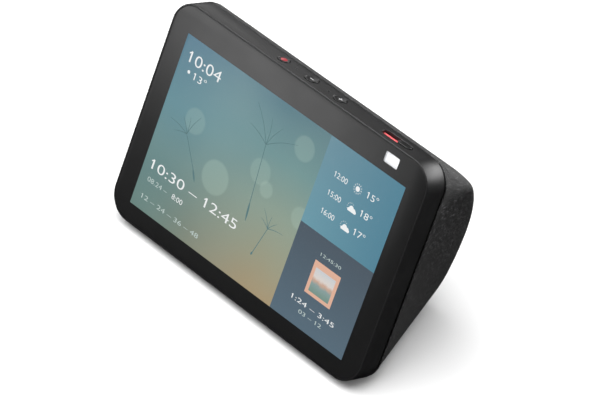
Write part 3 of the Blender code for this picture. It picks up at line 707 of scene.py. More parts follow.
FINISHES = (
    Finish(
        "charcoal_plastic", grey(0.006, 0.0005), grey(0.011, 0.0005), (0.40, 0.48),
        specular=0.4, size=0.00018, relief=0.000004,
    ),
    Finish("black_plastic", grey(0.004, 0.0005), grey(0.009, 0.0005), (0.45, 0.62), size=0.0003, relief=0.000008),
    Finish(
        "key_plastic", grey(0.007, 0.0005), grey(0.012, 0.0005), (0.32, 0.40),
        specular=0.4, size=0.00015, relief=0.000003,
    ),
    Finish("mark_grey", grey(0.50, 0.01), grey(0.66, 0.01), (0.40, 0.55), size=0.0002, relief=0.000002),
    Finish("light_guide", (0.75, 0.76, 0.78), (0.88, 0.88, 0.90), (0.30, 0.45), size=0.0006, patch=0.03),
    Finish("rubber", grey(0.007), grey(0.022), (0.75, 0.92), specular=0.25, size=0.0005, relief=0.00002),
    Finish(
        "steel", grey(0.42, 0.01), grey(0.66, 0.01), (0.22, 0.40),
        metallic=1.0, grain=Grain.BRUSHED_X, size=0.0003, relief=0.000004,
    ),
    Finish(
        "heat_sink", grey(0.30, 0.01), grey(0.48, 0.01), (0.30, 0.48),
        metallic=1.0, grain=Grain.BRUSHED_Z, size=0.0003, relief=0.000006,
    ),
    # White plastic of the shutter blade: its glow of 0.16 is a painted glow that brightens the blade behind the
    # glass.
    Finish("white_plastic", (0.72, 0.73, 0.75), (0.84, 0.85, 0.87), (0.35, 0.50), relief=0.000004, screen_and_painted_glow=0.16),
    # Red plastic of the shutter strip: its glow of 0.30 is a painted glow that makes the strip brighter than its
    # lighting.
    Finish(
        "red_plastic", (0.66, 0.090, 0.100), (0.88, 0.150, 0.160), (0.35, 0.50),
        size=0.0003, patch=0.004, relief=0.000005, screen_and_painted_glow=0.30,
    ),
    # Red of the microphone and camera key's lens: its glow of 0.08 is a faint painted glow.
    Finish(
        "button_red", (0.28, 0.020, 0.028), (0.42, 0.035, 0.047), (0.28, 0.40),
        size=0.0003, patch=0.004, relief=0.000003, screen_and_painted_glow=0.08,
    ),
    Finish("lens_glass", (0.004, 0.004, 0.010), (0.012, 0.010, 0.030), (0.03, 0.08), size=0.0008, relief=0.0),
    Finish("copper_film", (0.42, 0.20, 0.06), (0.62, 0.33, 0.12), (0.28, 0.45), metallic=0.8, size=0.0006),
    Finish("thermal_pad", (0.26, 0.36, 0.52), (0.38, 0.48, 0.62), (0.70, 0.90), size=0.0005, relief=0.00003),
    Finish(
        "paper_cone", (0.020, 0.019, 0.018), (0.055, 0.052, 0.048), (0.75, 0.95),
        size=0.0008, relief=0.00005, sheen=0.2,
    ),
    Finish("magnet", grey(0.10, 0.01), grey(0.20, 0.01), (0.40, 0.60), metallic=0.7, size=0.0005, relief=0.00002),
    Finish("red_wire", (0.30, 0.012, 0.010), (0.48, 0.030, 0.024), (0.35, 0.55), size=0.0006),
    Finish("black_wire", grey(0.008), grey(0.022), (0.40, 0.60), size=0.0006),
    Finish("foam", grey(0.012), grey(0.035), (0.85, 1.0), specular=0.1, size=0.0003, relief=0.00006),
    KnitFinish(),
    GlassFinish(),
    PictureFinish(),
    CardFinish(),
    LitFinish("card_edge", shade(230, 182, 158)),
    LitFinish("lit_white", (0.93, 0.95, 0.95)),
    LitFinish("lit_soft", shade(196, 212, 208)),
    LitFinish("lit_shadow", shade(94, 127, 130)),
    BoardFinish(),
    FloorFinish(),
)
MATERIALS = {finish.name: finish.build() for finish in FINISHES}


# The slab


@dataclass
class FrontSlab:
    """The leaning slab's surround and its glass."""

    rim: float = 0.0009
    glass_depth: float = 0.0015
    ledge_depth: float = 0.0024
    edge_round: float = 0.00035
    front_round: float = 0.0005
    hole_gap: float = 0.00028
    glass_gap: float = 0.00014
    pane: tuple = (0.0001, 0.0008)
    corner_steps: int = 20
    microphones: tuple = (-0.0135, 0.0120)
    sound_hole: float = 0.0006
    slot_width: float = 0.0062
    wall_reach: float = 0.006

    def top_hole(self, name: str, radius: float, across: float, sides: int) -> Shape:
        """A cutter for a round hole in the top wall, with a small chamfer at its mouth."""
        top = FACE_HEIGHT
        chamfer = 0.0002
        axis = (across, CONTROL_DEPTH, 0)
        cutter = Shape.rod(name, radius, top - self.wall_reach, top - chamfer, axis, sides)
        cutter.choose("FACE", lambda f: f.normal.z > 0.99)
        bpy.ops.mesh.extrude_region_move(TRANSFORM_OT_translate={"value": (0, 0, 2 * chamfer)})
        grow = (radius + 2 * chamfer) / radius
        bpy.ops.transform.resize(value=(grow, grow, 1))
        bpy.ops.mesh.extrude_region_move(TRANSFORM_OT_translate={"value": (0, 0, 0.002)})
        return cutter.leave()

    def make_surround(self) -> None:
        """The dark surround, with openings for the keys, microphones and shutter."""
        half, top = FACE_WIDTH / 2, FACE_HEIGHT
        body = Shape.box("slab_surround", (-half, 0, 0), (half, SLAB_DEPTH, top))
        body.round_corners(1, FACE_RADIUS, self.corner_steps)
        body.round_rim(1, 0.0, self.front_round, 3)
        body.round_rim(1, SLAB_DEPTH, self.edge_round, 3)
        body.carve(*self.inner_cutters())
        for name, across, radius, sides in self.holes():
            body.carve(self.top_hole(name, radius, across, sides))
        body.carve(*self.slot_cutters())
        body.round_edges(self.at_slot_mouth, 0.00015, 1)
        body.smooth(30).move(SLAB)
        body.hand_over("charcoal_plastic", "charcoal_plastic", stands_for=["front_frame"])

    def inner_cutters(self) -> list[Shape]:
        """Cutters for the glass recess, the screen's ledge, the camera's notch and the hollow behind."""
        half, top = FACE_WIDTH / 2, FACE_HEIGHT
        side, end, back = 0.0085, 0.0075, 0.0040
        shapes = []
        for name, front, depth, margin in (
            ("recess", -0.002, self.glass_depth, self.rim),
            ("hollow", self.ledge_depth, SLAB_DEPTH + 0.002, WALL),
        ):
            low, high = (margin - half, front, margin), (half - margin, depth, top - margin)
            shapes.append(Shape.box(name, low, high).round_corners(1, FACE_RADIUS - margin, self.corner_steps))
        ledge = Shape.box("ledge", (side - half, 0.0005, end), (half - side, back, top - end))
        notch = Shape.box("notch", (0.0425, 0.0005, top - 0.020), (0.0895, back, top - WALL - 0.0005))
        return [shapes[0], ledge, notch, shapes[1]]

    def holes(self) -> list[tuple[str, float, float, int]]:
        """The name, place, radius and number of sides of each round hole in the top wall."""
        keys = [(name + "_hole", across, radius + self.hole_gap, 48) for name, (across, radius) in KEYS.items()]
        return keys + [("sound_hole", across, self.sound_hole, 16) for across in self.microphones]

    def slot_cutters(self) -> list[Shape]:
        """Cutters for the shutter's slot and for the pocket under its left end."""
        low, high = SLOT
        half, pocket_half, top = self.slot_width / 2, 0.0032, FACE_HEIGHT
        slot = Shape.box(
            "slot",
            (low, CONTROL_DEPTH - half, top - self.wall_reach),
            (high, CONTROL_DEPTH + half, top + 0.002),
        )
        pocket = Shape.box(
            "pocket",
            (low - 0.0116, CONTROL_DEPTH - pocket_half, top - 0.004),
            (low + 0.0050, CONTROL_DEPTH + pocket_half, top - 0.0014),
        )
        return [slot.round_corners(2, half * 0.998, 16), pocket]

    def at_slot_mouth(self, edge: bmesh.types.BMEdge) -> bool:
        """Say whether an edge is part of the shutter slot's mouth."""
        slack = 1e-5
        low, high = SLOT[0] - slack, SLOT[1] + slack
        reach = self.slot_width / 2 + slack
        return all(
            abs(v.co.z - FACE_HEIGHT) < TOUCH and low < v.co.x < high and abs(v.co.y - CONTROL_DEPTH) < reach
            for v in edge.verts
        )

    def make_glass(self) -> None:
        """The glass pane with a rounded front edge."""
        edge = self.rim + self.glass_gap
        half = FACE_WIDTH / 2
        front, back = self.pane
        pane = Shape.box("glass_pane", (edge - half, front, edge), (half - edge, back, FACE_HEIGHT - edge))
        pane.round_corners(1, FACE_RADIUS - edge, self.corner_steps)
        pane.round_rim(1, front, 0.0003, 3)
        pane.smooth(40).move(SLAB)
        pane.hand_over("printed_glass", "cover_glass", stands_for=["cover_glass"])

    def build(self) -> None:
        """Make the slab's outer pieces."""
        self.make_surround()
        self.make_glass()


# What the screen shows


@dataclass
class ScreenContent:
    """Digits, weather signs, drifting seeds and a small picture, all lit by the screen.

    Places are in the screen's plane, from its centre: X to the right and Y up.
    """

    thickness: float = 0.00004
    layer: float = 0.00002
    digits: tuple = (
        ("10:04", -0.0796, 0.03955, 0.0066, 0.0250),
        ("13°", -0.0724, 0.03205, 0.0043, 0.0095),
        ("8:00", -0.0596, -0.0363, 0.0030, 0.0084),
        ("12:00", 0.0400, 0.03455, 0.0032, 0.0094),
        ("15:00", 0.0400, 0.02320, 0.0032, 0.0094),
        ("16:00", 0.0400, 0.01190, 0.0032, 0.0094),
        ("15°", 0.0650, 0.03530, 0.0039, 0.0079),
        ("18°", 0.0650, 0.02400, 0.0039, 0.0079),
        ("17°", 0.0650, 0.01250, 0.0039, 0.0079),
    )
    titles: tuple = (
        ("10:30 – 12:45", -0.07995, -0.0286, 0.0058, 0.0693),
        ("1:24 – 3:45", 0.0407, -0.0412, 0.0027, 0.0331),
    )
    small_lines: tuple = (
        ("08.24 –", -0.0798, -0.0363, 0.0028, 0.0160),
        ("12 – 24 – 36 – 48", -0.0798, -0.0473, 0.0027, 0.0466),
        ("12:45:30", 0.0494, -0.0096, 0.0018, 0.0157),
        ("03 – 12", 0.0483, -0.0462, 0.0022, 0.0177),
    )
    suns: tuple = ((0.0573, 0.0365, 0.0015, 0.0032), (-0.0771, 0.0344, 0.0010, 0.0016))
    clouds: tuple = ((0.0583, 0.0246), (0.0583, 0.0131))
    seeds: tuple = (
        ((-0.0104, 0.0258), (-0.0074, -0.0086), (-0.0062, -0.0200), 0.0235, (28, 62, 96, 128, 160)),
        ((-0.0642, 0.0023), (-0.0521, -0.0130), (-0.0482, -0.0194), 0.0150, (66, 96, 128, 170, 196)),
        ((0.0100, -0.0158), (0.0056, -0.0330), (0.0049, -0.0350), 0.0115, (12, 48, 88, 126, 152)),
    )

    def plate(
        self, name: str, low: tuple, high: tuple, radius: float, steps: int = 5, lift: float = 0.0
    ) -> Shape:
        """A thin plate with rounded corners."""
        bottom = self.layer + lift
        part = Shape.box(name, (*low, bottom), (*high, bottom + self.thickness))
        return part.round_corners(2, radius, steps)

    def disc(self, name: str, x: float, y: float, radius: float) -> Shape:
        """A thin round plate with a soft edge."""
        top = self.layer + self.thickness
        return Shape.rod(name, radius, self.layer, top, (x, y, 0), 28).round_rim(2, top, self.thickness / 3, 1)

    def line_of_digits(self, text: str, left: float, baseline: float, height: float, width: float) -> Shape:
        """Digits of a given height and width.

        Args:
            text: the digits.
            left: where the first one starts.
            baseline: where they stand.
            height: the height of a digit.
            width: the whole line's width.

        Returns:
            The shape, in the screen's plane.
        """
        Shape.put_down()
        bpy.ops.object.text_add()
        words = bpy.context.object
        words.data.body = text
        words.data.offset = -0.006
        words.data.resolution_u = 6
        bpy.ops.object.convert(target="MESH")
        line = Shape("digits")
        xs = [v.co.x for v in line.obj.data.vertices]
        top = max(v.co.y for v in line.obj.data.vertices)
        scale = Matrix.Diagonal((width / (max(xs) - min(xs)), height / top, 1, 1))
        line.move(Matrix.Translation((left, baseline, 0)) @ scale @ Matrix.Translation((-min(xs), 0, 0)))
        flags = [self.flag(left_edge, height) for left_edge in self.ones(line, text)]
        line.choose("FACE", lambda f: True)
        bpy.ops.mesh.remove_doubles(threshold=1e-7)
        bpy.ops.mesh.extrude_region_move(TRANSFORM_OT_translate={"value": (0, 0, self.thickness)})
        bpy.ops.mesh.select_all(action="SELECT")
        bpy.ops.mesh.normals_make_consistent(inside=False)
        line.leave().move(Matrix.Translation((0, 0, self.layer)))
        for flag in flags:
            flag.move(Matrix.Translation((0, baseline, 0)))
        return line.gather(flags)

    @staticmethod
    def ones(line: Shape, text: str) -> list[float]:
        """Where each 1 in a line of digits starts.

        Args:
            line: the line's flat shape.
            text: its digits.

        Returns:
            The left edges of the ones.
        """
        mesh = line.obj.data
        edges = [sorted(mesh.vertices[i].co.x for i in polygon.vertices) for polygon in mesh.polygons]
        spans = []
        for span in sorted((xs[0], xs[-1]) for xs in edges):
            if spans and span[0] <= spans[-1][1] + TOUCH:
                spans[-1] = (spans[-1][0], max(spans[-1][1], span[1]))
            else:
                spans.append(span)
        return [span[0] for span, digit in zip(spans, text.replace(" ", "")) if digit == "1"]

    def flag(self, left: float, height: float) -> Shape:
        """The short slanting stroke at the top of a 1."""
        thick = height * 0.11
        stroke = self.plate("flag", (-height * 0.30, -thick / 2), (thick / 2, thick / 2), thick * 0.3, 2)
        turn = Matrix.Rotation(math.radians(38), 4, "Z")
        return stroke.move(Matrix.Translation((left + thick / 2, height - thick * 0.75, 0)) @ turn)

    def sun(self, x: float, y: float, radius: float, reach: float) -> list[Shape]:
        """A disc with rays all round."""
        return [self.disc("sun", x, y, radius), *self.rays(x, y, radius * 1.45, reach, 0, 360)]

    def rays(self, x: float, y: float, inner: float, outer: float, start: int, end: int) -> list[Shape]:
        """Short rays round a point from one angle to another, in degrees."""
        half = (outer - inner) * 0.13
        parts = []
        for angle in range(start, end, 30):
            ray = self.plate("ray", (inner, -half), (outer, half), half * 0.9, 2)
            parts.append(ray.move(Matrix.Translation((x, y, 0)) @ Matrix.Rotation(math.radians(angle), 4, "Z")))
        return parts

    def cloud(self, x: float, y: float) -> list[Shape]:
        """A cloud with half a sun behind it."""
        body = self.plate("cloud", (x - 0.0031, y - 0.0019), (x + 0.0034, y - 0.0002), 0.00083, 6)
        for right, up, radius in ((-0.0005, -0.0001, 0.0017), (0.0015, -0.0006, 0.0013)):
            body.carve(self.disc("puff", x + right, y + up, radius), join=True)
        return [body, *self.rays(x - 0.0013, y + 0.0004, 0.0021, 0.0028, 60, 241)]

    def stroke(self, points: list[tuple[float, float]], widths: list[float]) -> Shape:
        """A thin tapering line through points in the screen's plane."""
        Shape.put_down()
        bpy.ops.curve.primitive_bezier_curve_add()
        curve = bpy.context.object.data
        curve.splines.clear()
        curve.bevel_depth = 1.0
        curve.bevel_resolution = 1
        curve.use_fill_caps = True
        spline = curve.splines.new("POLY")
        spline.points.add(len(points) - 1)
        for knot, (x, y), width in zip(spline.points, points, widths):
            knot.co = (x, y, 0, 1)
            knot.radius = width / 2
        bpy.ops.object.convert(target="MESH")
        line = Shape("stroke")
        flat = self.thickness / 2 / max(widths)
        return line.move(Matrix.Translation((0, 0, self.layer)) @ Matrix.Diagonal((1, 1, flat, 1)))

    def seed(self, hub: tuple, waist: tuple, tip: tuple, reach: float, angles: tuple) -> list[Shape]:
        """A drifting seed: a stalk, its seed and a fan of bristles."""
        hub, waist, tip = Vector(hub), Vector(waist), Vector(tip)
        stalk = [hub + (waist - hub) * t for t in (0, 0.5, 1)]
        parts = [self.stroke(stalk, [0.00038, 0.00042, 0.00048])]
        grain = [waist + (tip - waist) * t for t in (0, 0.3, 0.7, 1)]
        parts.append(self.stroke(grain, [0.0004, 0.0013, 0.0012, 0.0003]))
        for number, angle in enumerate(angles):
            heading = math.radians(angle)
            length = reach * (0.78 + 0.22 * math.cos(number * 2.1))
            bow = 0.05 * length * (1 if angle < 90 else -1)
            turn = Matrix.Rotation(heading, 2)
            points = [
                hub + turn @ Vector((length * t, bow * math.sin(math.pi * t))) for t in (0, 0.25, 0.5, 0.75, 1)
            ]
            parts.append(self.stroke(points, [0.00042, 0.00038, 0.00032, 0.00024, 0.00012]))
        return parts

    def put_up(self, name: str, parts: list[Shape], finish: str) -> None:
        """Join parts into one piece in front of the screen."""
        first, *rest = parts
        first.gather(rest)
        first.obj.name = first.obj.data.name = name
        first.move(SCREEN)
        first.hand_over(finish, "screen")

    def build(self) -> None:
        """Make all that the screen shows in front of its picture."""
        margin = 0.0015
        half_x, half_z = SCREEN_WIDTH / 2 + margin, SCREEN_HEIGHT / 2 + margin
        back = PICTURE_DEPTH + 0.0001
        film = Shape.box("screen_film", (-half_x, PICTURE_DEPTH, -half_z), (half_x, back, half_z))
        film.round_corners(1, 0.0008, 3).move(SLAB @ Matrix.Translation((0, 0, SCREEN_CENTRE)))
        film.hand_over("screen_picture", "screen")
        self.put_up("screen_digits", [self.line_of_digits(*line) for line in self.digits], "lit_white")
        signs = [part for sun in self.suns for part in self.sun(*sun)]
        signs += [part for cloud in self.clouds for part in self.cloud(*cloud)]
        self.put_up("weather_signs", signs, "lit_white")
        self.put_up("title_digits", [self.line_of_digits(*line) for line in self.titles], "lit_white")
        self.put_up("small_digits", [self.line_of_digits(*line) for line in self.small_lines], "lit_soft")
        self.put_up("drifting_seeds", [part for seed in self.seeds for part in self.seed(*seed)], "lit_shadow")
        card = self.plate("card", (0.0473, -0.0332), (0.0673, -0.0132), 0.0003, 2)
        self.put_up("card_border", [card], "card_edge")
        view = self.plate("view", (0.0496, -0.0312), (0.0650, -0.0168), 0.0002, 2, self.thickness)
        self.put_up("card_view", [view], "card_picture")


# Controls on the top edge


@dataclass
class TopControls:
    """The three keys with their marks, and the shutter's knob, red strip and blade."""

    proud: float = 0.0003
    flange: float = 0.0007
    dish: float = 0.00025
    lens_radius: float = 0.00245
    knob_half: float = 0.0047
    knob_front: float = -0.0021
    knob_back: float = 0.0026
    knob_top: float = 0.0003
    knob_from_end: float = 0.0052
    strip_level: float = FACE_HEIGHT - 0.0017
    strip_half: float = 0.0028

    def place(self, across: float) -> Matrix:
        """The frame of a control on the top edge, with Z out of it."""
        return SLAB @ Matrix.Translation((across, CONTROL_DEPTH, FACE_HEIGHT))

    def make_key(self, name: str, across: float, radius: float) -> None:
        """One round key with a dished, soft-edged top."""
        shelf = -WALL - GAP
        key = Shape.rod(name + "_cap", radius + self.flange, shelf - 0.0008, shelf, sides=64)
        key.step_in(2, 1, shelf, self.flange, self.proud - shelf)
        key.round_rim(2, self.proud, 0.00022, 3)
        for share, drop in ((0.18, 0.25), (0.28, 0.45), (0.28, 0.30)):
            key.choose("FACE", lambda f: f.normal.z > 0.99 and f.calc_center_median().xy.length < 1e-5)
            bpy.ops.mesh.inset(thickness=radius * share, depth=-self.dish * drop)
            key.leave()
        key.smooth(50).move(self.place(across))
        key.hand_over("key_plastic", "charcoal_plastic", name + "_key", [name + "_button"])

    def make_lens(self) -> None:
        """The red lens in the middle of the microphone and camera key; its finish has a faint painted glow."""
        level = self.proud - self.dish
        lens = Shape.rod("mic_camera_lens", self.lens_radius, level - 0.0003, level + 0.00012, sides=48)
        lens.round_rim(2, level + 0.00012, 0.0001, 2)
        lens.smooth(40).move(self.place(KEYS["mic_camera"][0]))
        lens.hand_over("button_red", "button_red", "mic_camera_key")

    def make_mark(self, name: str, body: str, across: float, upright: bool) -> None:
        """A minus, or a plus if it has an upright bar too, let into a key's dish."""
        half_long, half_wide = 0.0015, 0.00024
        level = self.proud - self.dish
        low, high = level - 0.0001, level + 0.00008
        mark = Shape.box(name, (-half_long, -half_wide, low), (half_long, half_wide, high))
        mark.round_corners(2, half_wide * 0.9, 4)
        if upright:
            bar = Shape.box("bar", (-half_wide, -half_long, low), (half_wide, half_long, high))
            mark.carve(bar.round_corners(2, half_wide * 0.9, 4), join=True)
        mark.smooth(40).move(self.place(across))
        mark.hand_over("mark_grey", "white_plastic", body)

    def make_knob(self) -> None:
        """The shutter's knob, with a soft edge and three finger ridges."""
        top, half = self.knob_top, 0.00022
        knob = Shape.box(
            "shutter_knob", (-self.knob_half, self.knob_front, -0.00295), (self.knob_half, self.knob_back, top)
        )
        knob.round_corners(2, 0.0022, 12)
        knob.round_rim(2, top, 0.00035, 4)
        knob.smooth(40)
        for offset in (-0.0014, 0.0, 0.0014):
            low, high = (offset - half, -0.0016, top - half), (offset + half, 0.0016, top + 0.001)
            knob.carve(Shape.box("groove", low, high).round_corners(2, 0.0002, 3))
        knob.smooth(40).move(self.place(SLOT[1] - self.knob_from_end))
        knob.hand_over("key_plastic", "charcoal_plastic", "shutter", ["shutter_slider"])

    def make_strip(self) -> None:
        """The red strip beside the knob: a rib on a lower plate, seen while the shutter is closed; its finish has
        a painted glow.
        """
        left, right = 0.0546, 0.0712 - self.knob_half
        strip = Shape.box(
            "strip",
            (left, CONTROL_DEPTH - self.strip_half, self.strip_level - 0.0013),
            (right, CONTROL_DEPTH + self.strip_half, self.strip_level - 0.0008),
        )
        rib = Shape.box(
            "rib",
            (left + 0.0002, CONTROL_DEPTH + 0.0001, self.strip_level - 0.0010),
            (right, CONTROL_DEPTH + 0.0021, self.strip_level),
        )
        strip.carve(rib, join=True)
        strip.round_rim(2, self.strip_level, 0.0002, 2).smooth(35).move(SLAB)
        strip.hand_over("red_plastic", "red_plastic", "shutter", ["shutter_red_strip"])

    def make_blade(self) -> None:
        """The shutter's pale blade, close behind the glass, with a stiffening fold along its top; its finish has
        a painted glow.
        """
        blade = Shape.box("blade", (0.0642, 0.0010, 0.1230), (0.0770, 0.0015, 0.1331))
        blade.round_corners(1, 0.0004, 4)
        fold = Shape.box("fold", (0.0652, 0.0012, 0.1322), (0.0760, 0.0023, 0.1331))
        blade.carve(fold, join=True).smooth(35).move(SLAB)
        blade.hand_over("white_plastic", "white_plastic", "shutter", ["shutter_blade"])

    def build(self) -> None:
        """Make the controls."""
        for name, (across, radius) in KEYS.items():
            self.make_key(name, across, radius)
        self.make_lens()
        self.make_mark("minus_mark", "volume_down_key", KEYS["volume_down"][0], False)
        self.make_mark("plus_mark", "volume_up_key", KEYS["volume_up"][0], True)
        self.make_knob()
        self.make_strip()
        self.make_blade()


# The back body


@dataclass
class KnitCover:
    """The knit cover, stretched over the back body's housing."""

    heel_radius: float = 0.030
    back_radius: float = 0.1145
    back_centre_height: float = 0.040
    crest_depth: float = 0.0025
    rear_half_width: float = 0.067
    rear_flare: float = 0.18
    rear_flare_growth: float = 1.07
    corner_setback: float = 0.0068
    foot_radius: float = 0.005
    thickness: float = 0.0010
    side_steps: int = 18
    bend_steps: int = 12
    back_steps: int = 12
    lip: tuple = ((0.0004, 0.00012), (0.0001, 0.0002), (0.00003, 0.0005))
    flat: tuple = (0.298, 0.172)
    flat_area: float = 0.0425
    profile: list = field(default_factory=list)

    @staticmethod
    def slab_half_width(up_face: float) -> float:
        """Half the slab's width at a distance up its face."""
        from_corner = min(up_face, FACE_HEIGHT - up_face)
        if from_corner >= FACE_RADIUS:
            return FACE_WIDTH / 2
        return FACE_WIDTH / 2 - FACE_RADIUS + math.sqrt(FACE_RADIUS**2 - (FACE_RADIUS - max(from_corner, 0)) ** 2)

    @staticmethod
    def slab_back(height: float) -> float:
        """How far behind the front edge the slab's back plane lies at a height."""
        return (height - FOOT_HEIGHT) * math.tan(TILT) + (SLAB_DEPTH + GAP) / math.cos(TILT)

    @staticmethod
    def arc(centre: tuple, radius: float, start: float, end: float, count: int) -> list[tuple[float, float]]:
        """Points on an arc; angles in radians."""
        turns = [start + (end - start) * i / (count - 1) for i in range(count)]
        return [(centre[0] + radius * math.cos(a), centre[1] + radius * math.sin(a)) for a in turns]

    def side_profile(self) -> list[tuple[float, float]]:
        """The outline in the middle plane, from the table round the back to the top, as (behind, height)."""
        depth = SLAB_DEPTH + GAP
        top = (
            FACE_HEIGHT * math.sin(TILT) + depth * math.cos(TILT),
            FACE_BOTTOM + FACE_HEIGHT * math.cos(TILT) - depth * math.sin(TILT),
        )
        crest = (top[0] + self.crest_depth * math.cos(TILT), top[1] - self.crest_depth * math.sin(TILT))
        centre = (BODY_DEPTH - self.back_radius, self.back_centre_height)
        heel_height = FOOT_HEIGHT + self.heel_radius
        rise = heel_height - self.back_centre_height
        heel_centre = (centre[0] + math.sqrt((self.back_radius - self.heel_radius) ** 2 - rise**2), heel_height)
        meeting = math.atan2(rise, heel_centre[0] - centre[0])
        away = (crest[0] - centre[0], crest[1] - centre[1])
        leave = math.atan2(away[1], away[0]) - math.acos(self.back_radius / math.hypot(*away))
        heel = self.arc(heel_centre, self.heel_radius, -math.pi / 2, meeting, 16)
        back = self.arc(centre, self.back_radius, meeting, leave, 30)
        last = back[-1]
        rest = [(last[0] + (crest[0] - last[0]) * t, last[1] + (crest[1] - last[1]) * t) for t in (0.5, 1)]
        return heel + back[1:] + rest + [top]

    def back_at(self, height: float) -> float:
        """How far behind the front edge the body reaches at a height."""
        for low, high in zip(self.profile, self.profile[1:]):
            if height <= high[1]:
                share = max(height - low[1], 0) / (high[1] - low[1])
                return low[0] + (high[0] - low[0]) * share
        return self.profile[-1][0]

    def half_width(self, behind: float, height: float) -> float:
        """Half the body's width at a place seen from the side."""
        start = self.slab_back(height)
        above_foot = height - FOOT_HEIGHT
        slab_edge = FACE_WIDTH / 2
        if above_foot < FACE_HEIGHT / 2:
            slab_edge = self.slab_half_width(above_foot / math.cos(TILT))
        flared = self.rear_half_width + self.rear_flare * height + self.rear_flare_growth * height**2
        rear_edge = min(slab_edge, flared)
        reach = self.back_at(height) - start
        share = min(max((behind - start) / reach, 0), 1) if reach > 0 else 0
        width = slab_edge + (rear_edge - slab_edge) * share
        up_face = behind * math.sin(TILT) + (height - FACE_BOTTOM) * math.cos(TILT)
        foot = min(max(self.foot_radius - above_foot, 0), self.foot_radius)
        tuck = self.foot_radius - math.sqrt(self.foot_radius**2 - foot**2)
        return min(width, self.slab_half_width(up_face)) - tuck

    @staticmethod
    def along(points: list[Vector], start: float, end: float, count: int) -> list[Vector]:
        """Evenly spaced points on a run of straight pieces, between two distances along it."""
        lengths = [0.0]
        for a, b in zip(points, points[1:]):
            lengths.append(lengths[-1] + (b - a).length)
        result = []
        for i in range(count):
            place = start + (end - start) * i / (count - 1)
            k = max(j for j in range(len(points) - 1) if j == 0 or lengths[j] <= place)
            share = (place - lengths[k]) / (lengths[k + 1] - lengths[k])
            result.append(points[k].lerp(points[k + 1], min(share, 1)))
        return result

    def edge_point(self, spot: Vector, inset: float, back: float) -> Vector:
        """Move a point on the slab's outline inwards and back, in the slab's own frame.

        Args:
            spot: the point, as (x, behind, height).
            inset: how far towards the slab's middle.
            back: how far away from the slab.

        Returns:
            The new point, as (x, behind, height).
        """
        up_face = spot.y * math.sin(TILT) + (spot.z - FACE_BOTTOM) * math.cos(TILT)
        half, corner = FACE_WIDTH / 2 - FACE_RADIUS, FACE_HEIGHT - FACE_RADIUS
        inward = Vector((min(half - spot.x, 0), min(corner - up_face, 0)))
        if up_face < FACE_RADIUS and spot.x < FACE_WIDTH / 2 - 1e-5:
            inward = Vector((half - spot.x, FACE_RADIUS - up_face))
        if inward.length < 1e-6:
            inward = Vector((-1.0, 0.0))
        inward = inward.normalized() * inset
        up = Vector((0, math.sin(TILT), math.cos(TILT)))
        out = Vector((0, math.cos(TILT), -math.sin(TILT)))
        return spot + Vector((inward.x, 0, 0)) + up * inward.y + out * back

    def rib(self, place: tuple[float, float]) -> list[Vector]:
        """The cover's right half from the slab's edge to a point of the profile, as (x, behind, height)."""
        behind, height = place
        near_top = (height / self.profile[-1][1]) ** 3
        low = height - FACE_RADIUS * math.cos(TILT) * near_top
        fine = 48
        side = []
        for i in range(fine + 1):
            share = i / fine
            back, up = self.slab_back(low) * (1 - share) + behind * share, low * (1 - share) + height * share
            side.append(Vector((self.half_width(back, up), back, up)))
        middle = Vector((0, behind, height))
        corner = side[-1]
        length = sum((b - a).length for a, b in zip(side, side[1:]))
        setback = self.corner_setback * (1 - 0.25 * near_top)
        side_run = self.along(side, 0, length - setback, self.side_steps + 1)
        bend_end = corner + (middle - corner).normalized() * setback
        bend = []
        for i in range(1, self.bend_steps):
            t = i / self.bend_steps
            bend.append(side_run[-1] * (1 - t) ** 2 + corner * 2 * t * (1 - t) + bend_end * t**2)
        back_run = [bend_end.lerp(middle, i / self.back_steps) for i in range(self.back_steps + 1)]
        return side_run + bend + back_run

    def surface(self) -> list[list[Vector]]:
        """Rows of points on the cover's right half, with a rolled lip where it meets the slab."""
        rows = [self.rib(place) for place in self.profile]
        crest = rows.pop()
        for row in rows:
            start = row[0]
            row[0:1] = [self.edge_point(start, inset, back) for inset, back in self.lip]
        top_rows = []
        for inset, back in reversed(self.lip):
            line = [self.edge_point(spot, inset, back) for spot in crest]
            line[0:1] = [self.edge_point(crest[0], max(inset, i), max(back, b)) for i, b in self.lip]
            top_rows.append(line)
        return rows + top_rows

    def build(self) -> None:
        self.profile = self.side_profile()
        rows = self.surface()
        columns = len(rows[0])
        Shape.put_down()
        bpy.ops.mesh.primitive_grid_add(x_subdivisions=columns - 1, y_subdivisions=len(rows) - 1, size=2)
        cover = Shape("knit_cover")
        mesh = cover.obj.data
        lengths = self.cloth_lengths(rows)
        uv = mesh.uv_layers[0]
        uv.name = "cloth"
        last_row, last_column = len(rows) - 1, columns - 1
        spots = [
            (round((v.co.y + 1) / 2 * last_row), round((v.co.x + 1) / 2 * last_column)) for v in mesh.vertices
        ]
        for loop in mesh.loops:
            row, column = spots[loop.vertex_index]
            uv.data[loop.index].uv = lengths[row][column]
        for vertex, (row, column) in zip(mesh.vertices, spots):
            x, behind, height = rows[row][column]
            vertex.co = (x, behind - BODY_DEPTH / 2, height)
        mesh.update()
        cover.pick_up()
        mirror = cover.obj.modifiers.new("other half", "MIRROR")
        mirror.use_mirror_u = False
        mirror.merge_threshold = 0.00001
        bpy.ops.object.modifier_apply(modifier=mirror.name)
        cloth = mesh.uv_layers["cloth"]
        for polygon in mesh.polygons:
            polygon.use_smooth = True
            if polygon.center.x < 0:
                for index in polygon.loop_indices:
                    cloth.data[index].uv.x *= -1
        area = sum(p.area for p in mesh.polygons)
        wall = cover.obj.modifiers.new("cloth", "SOLIDIFY")
        wall.thickness = self.thickness
        wall.offset = -1
        wall.thickness_clamp = 1.0
        bpy.ops.object.modifier_apply(modifier=wall.name)
        cover.carve(PowerInlet().opening(), solver="MANIFOLD")
        piece = cover.hand_over("charcoal_knit", "knit", stands_for=["fabric_cover"])
        width = 2 * max(row[0][0] for row in lengths)
        length = max(value[1] for row in lengths for value in row)
        LOG.info("knit cover: %.4f by %.4f, area %.5f", width, length, area)

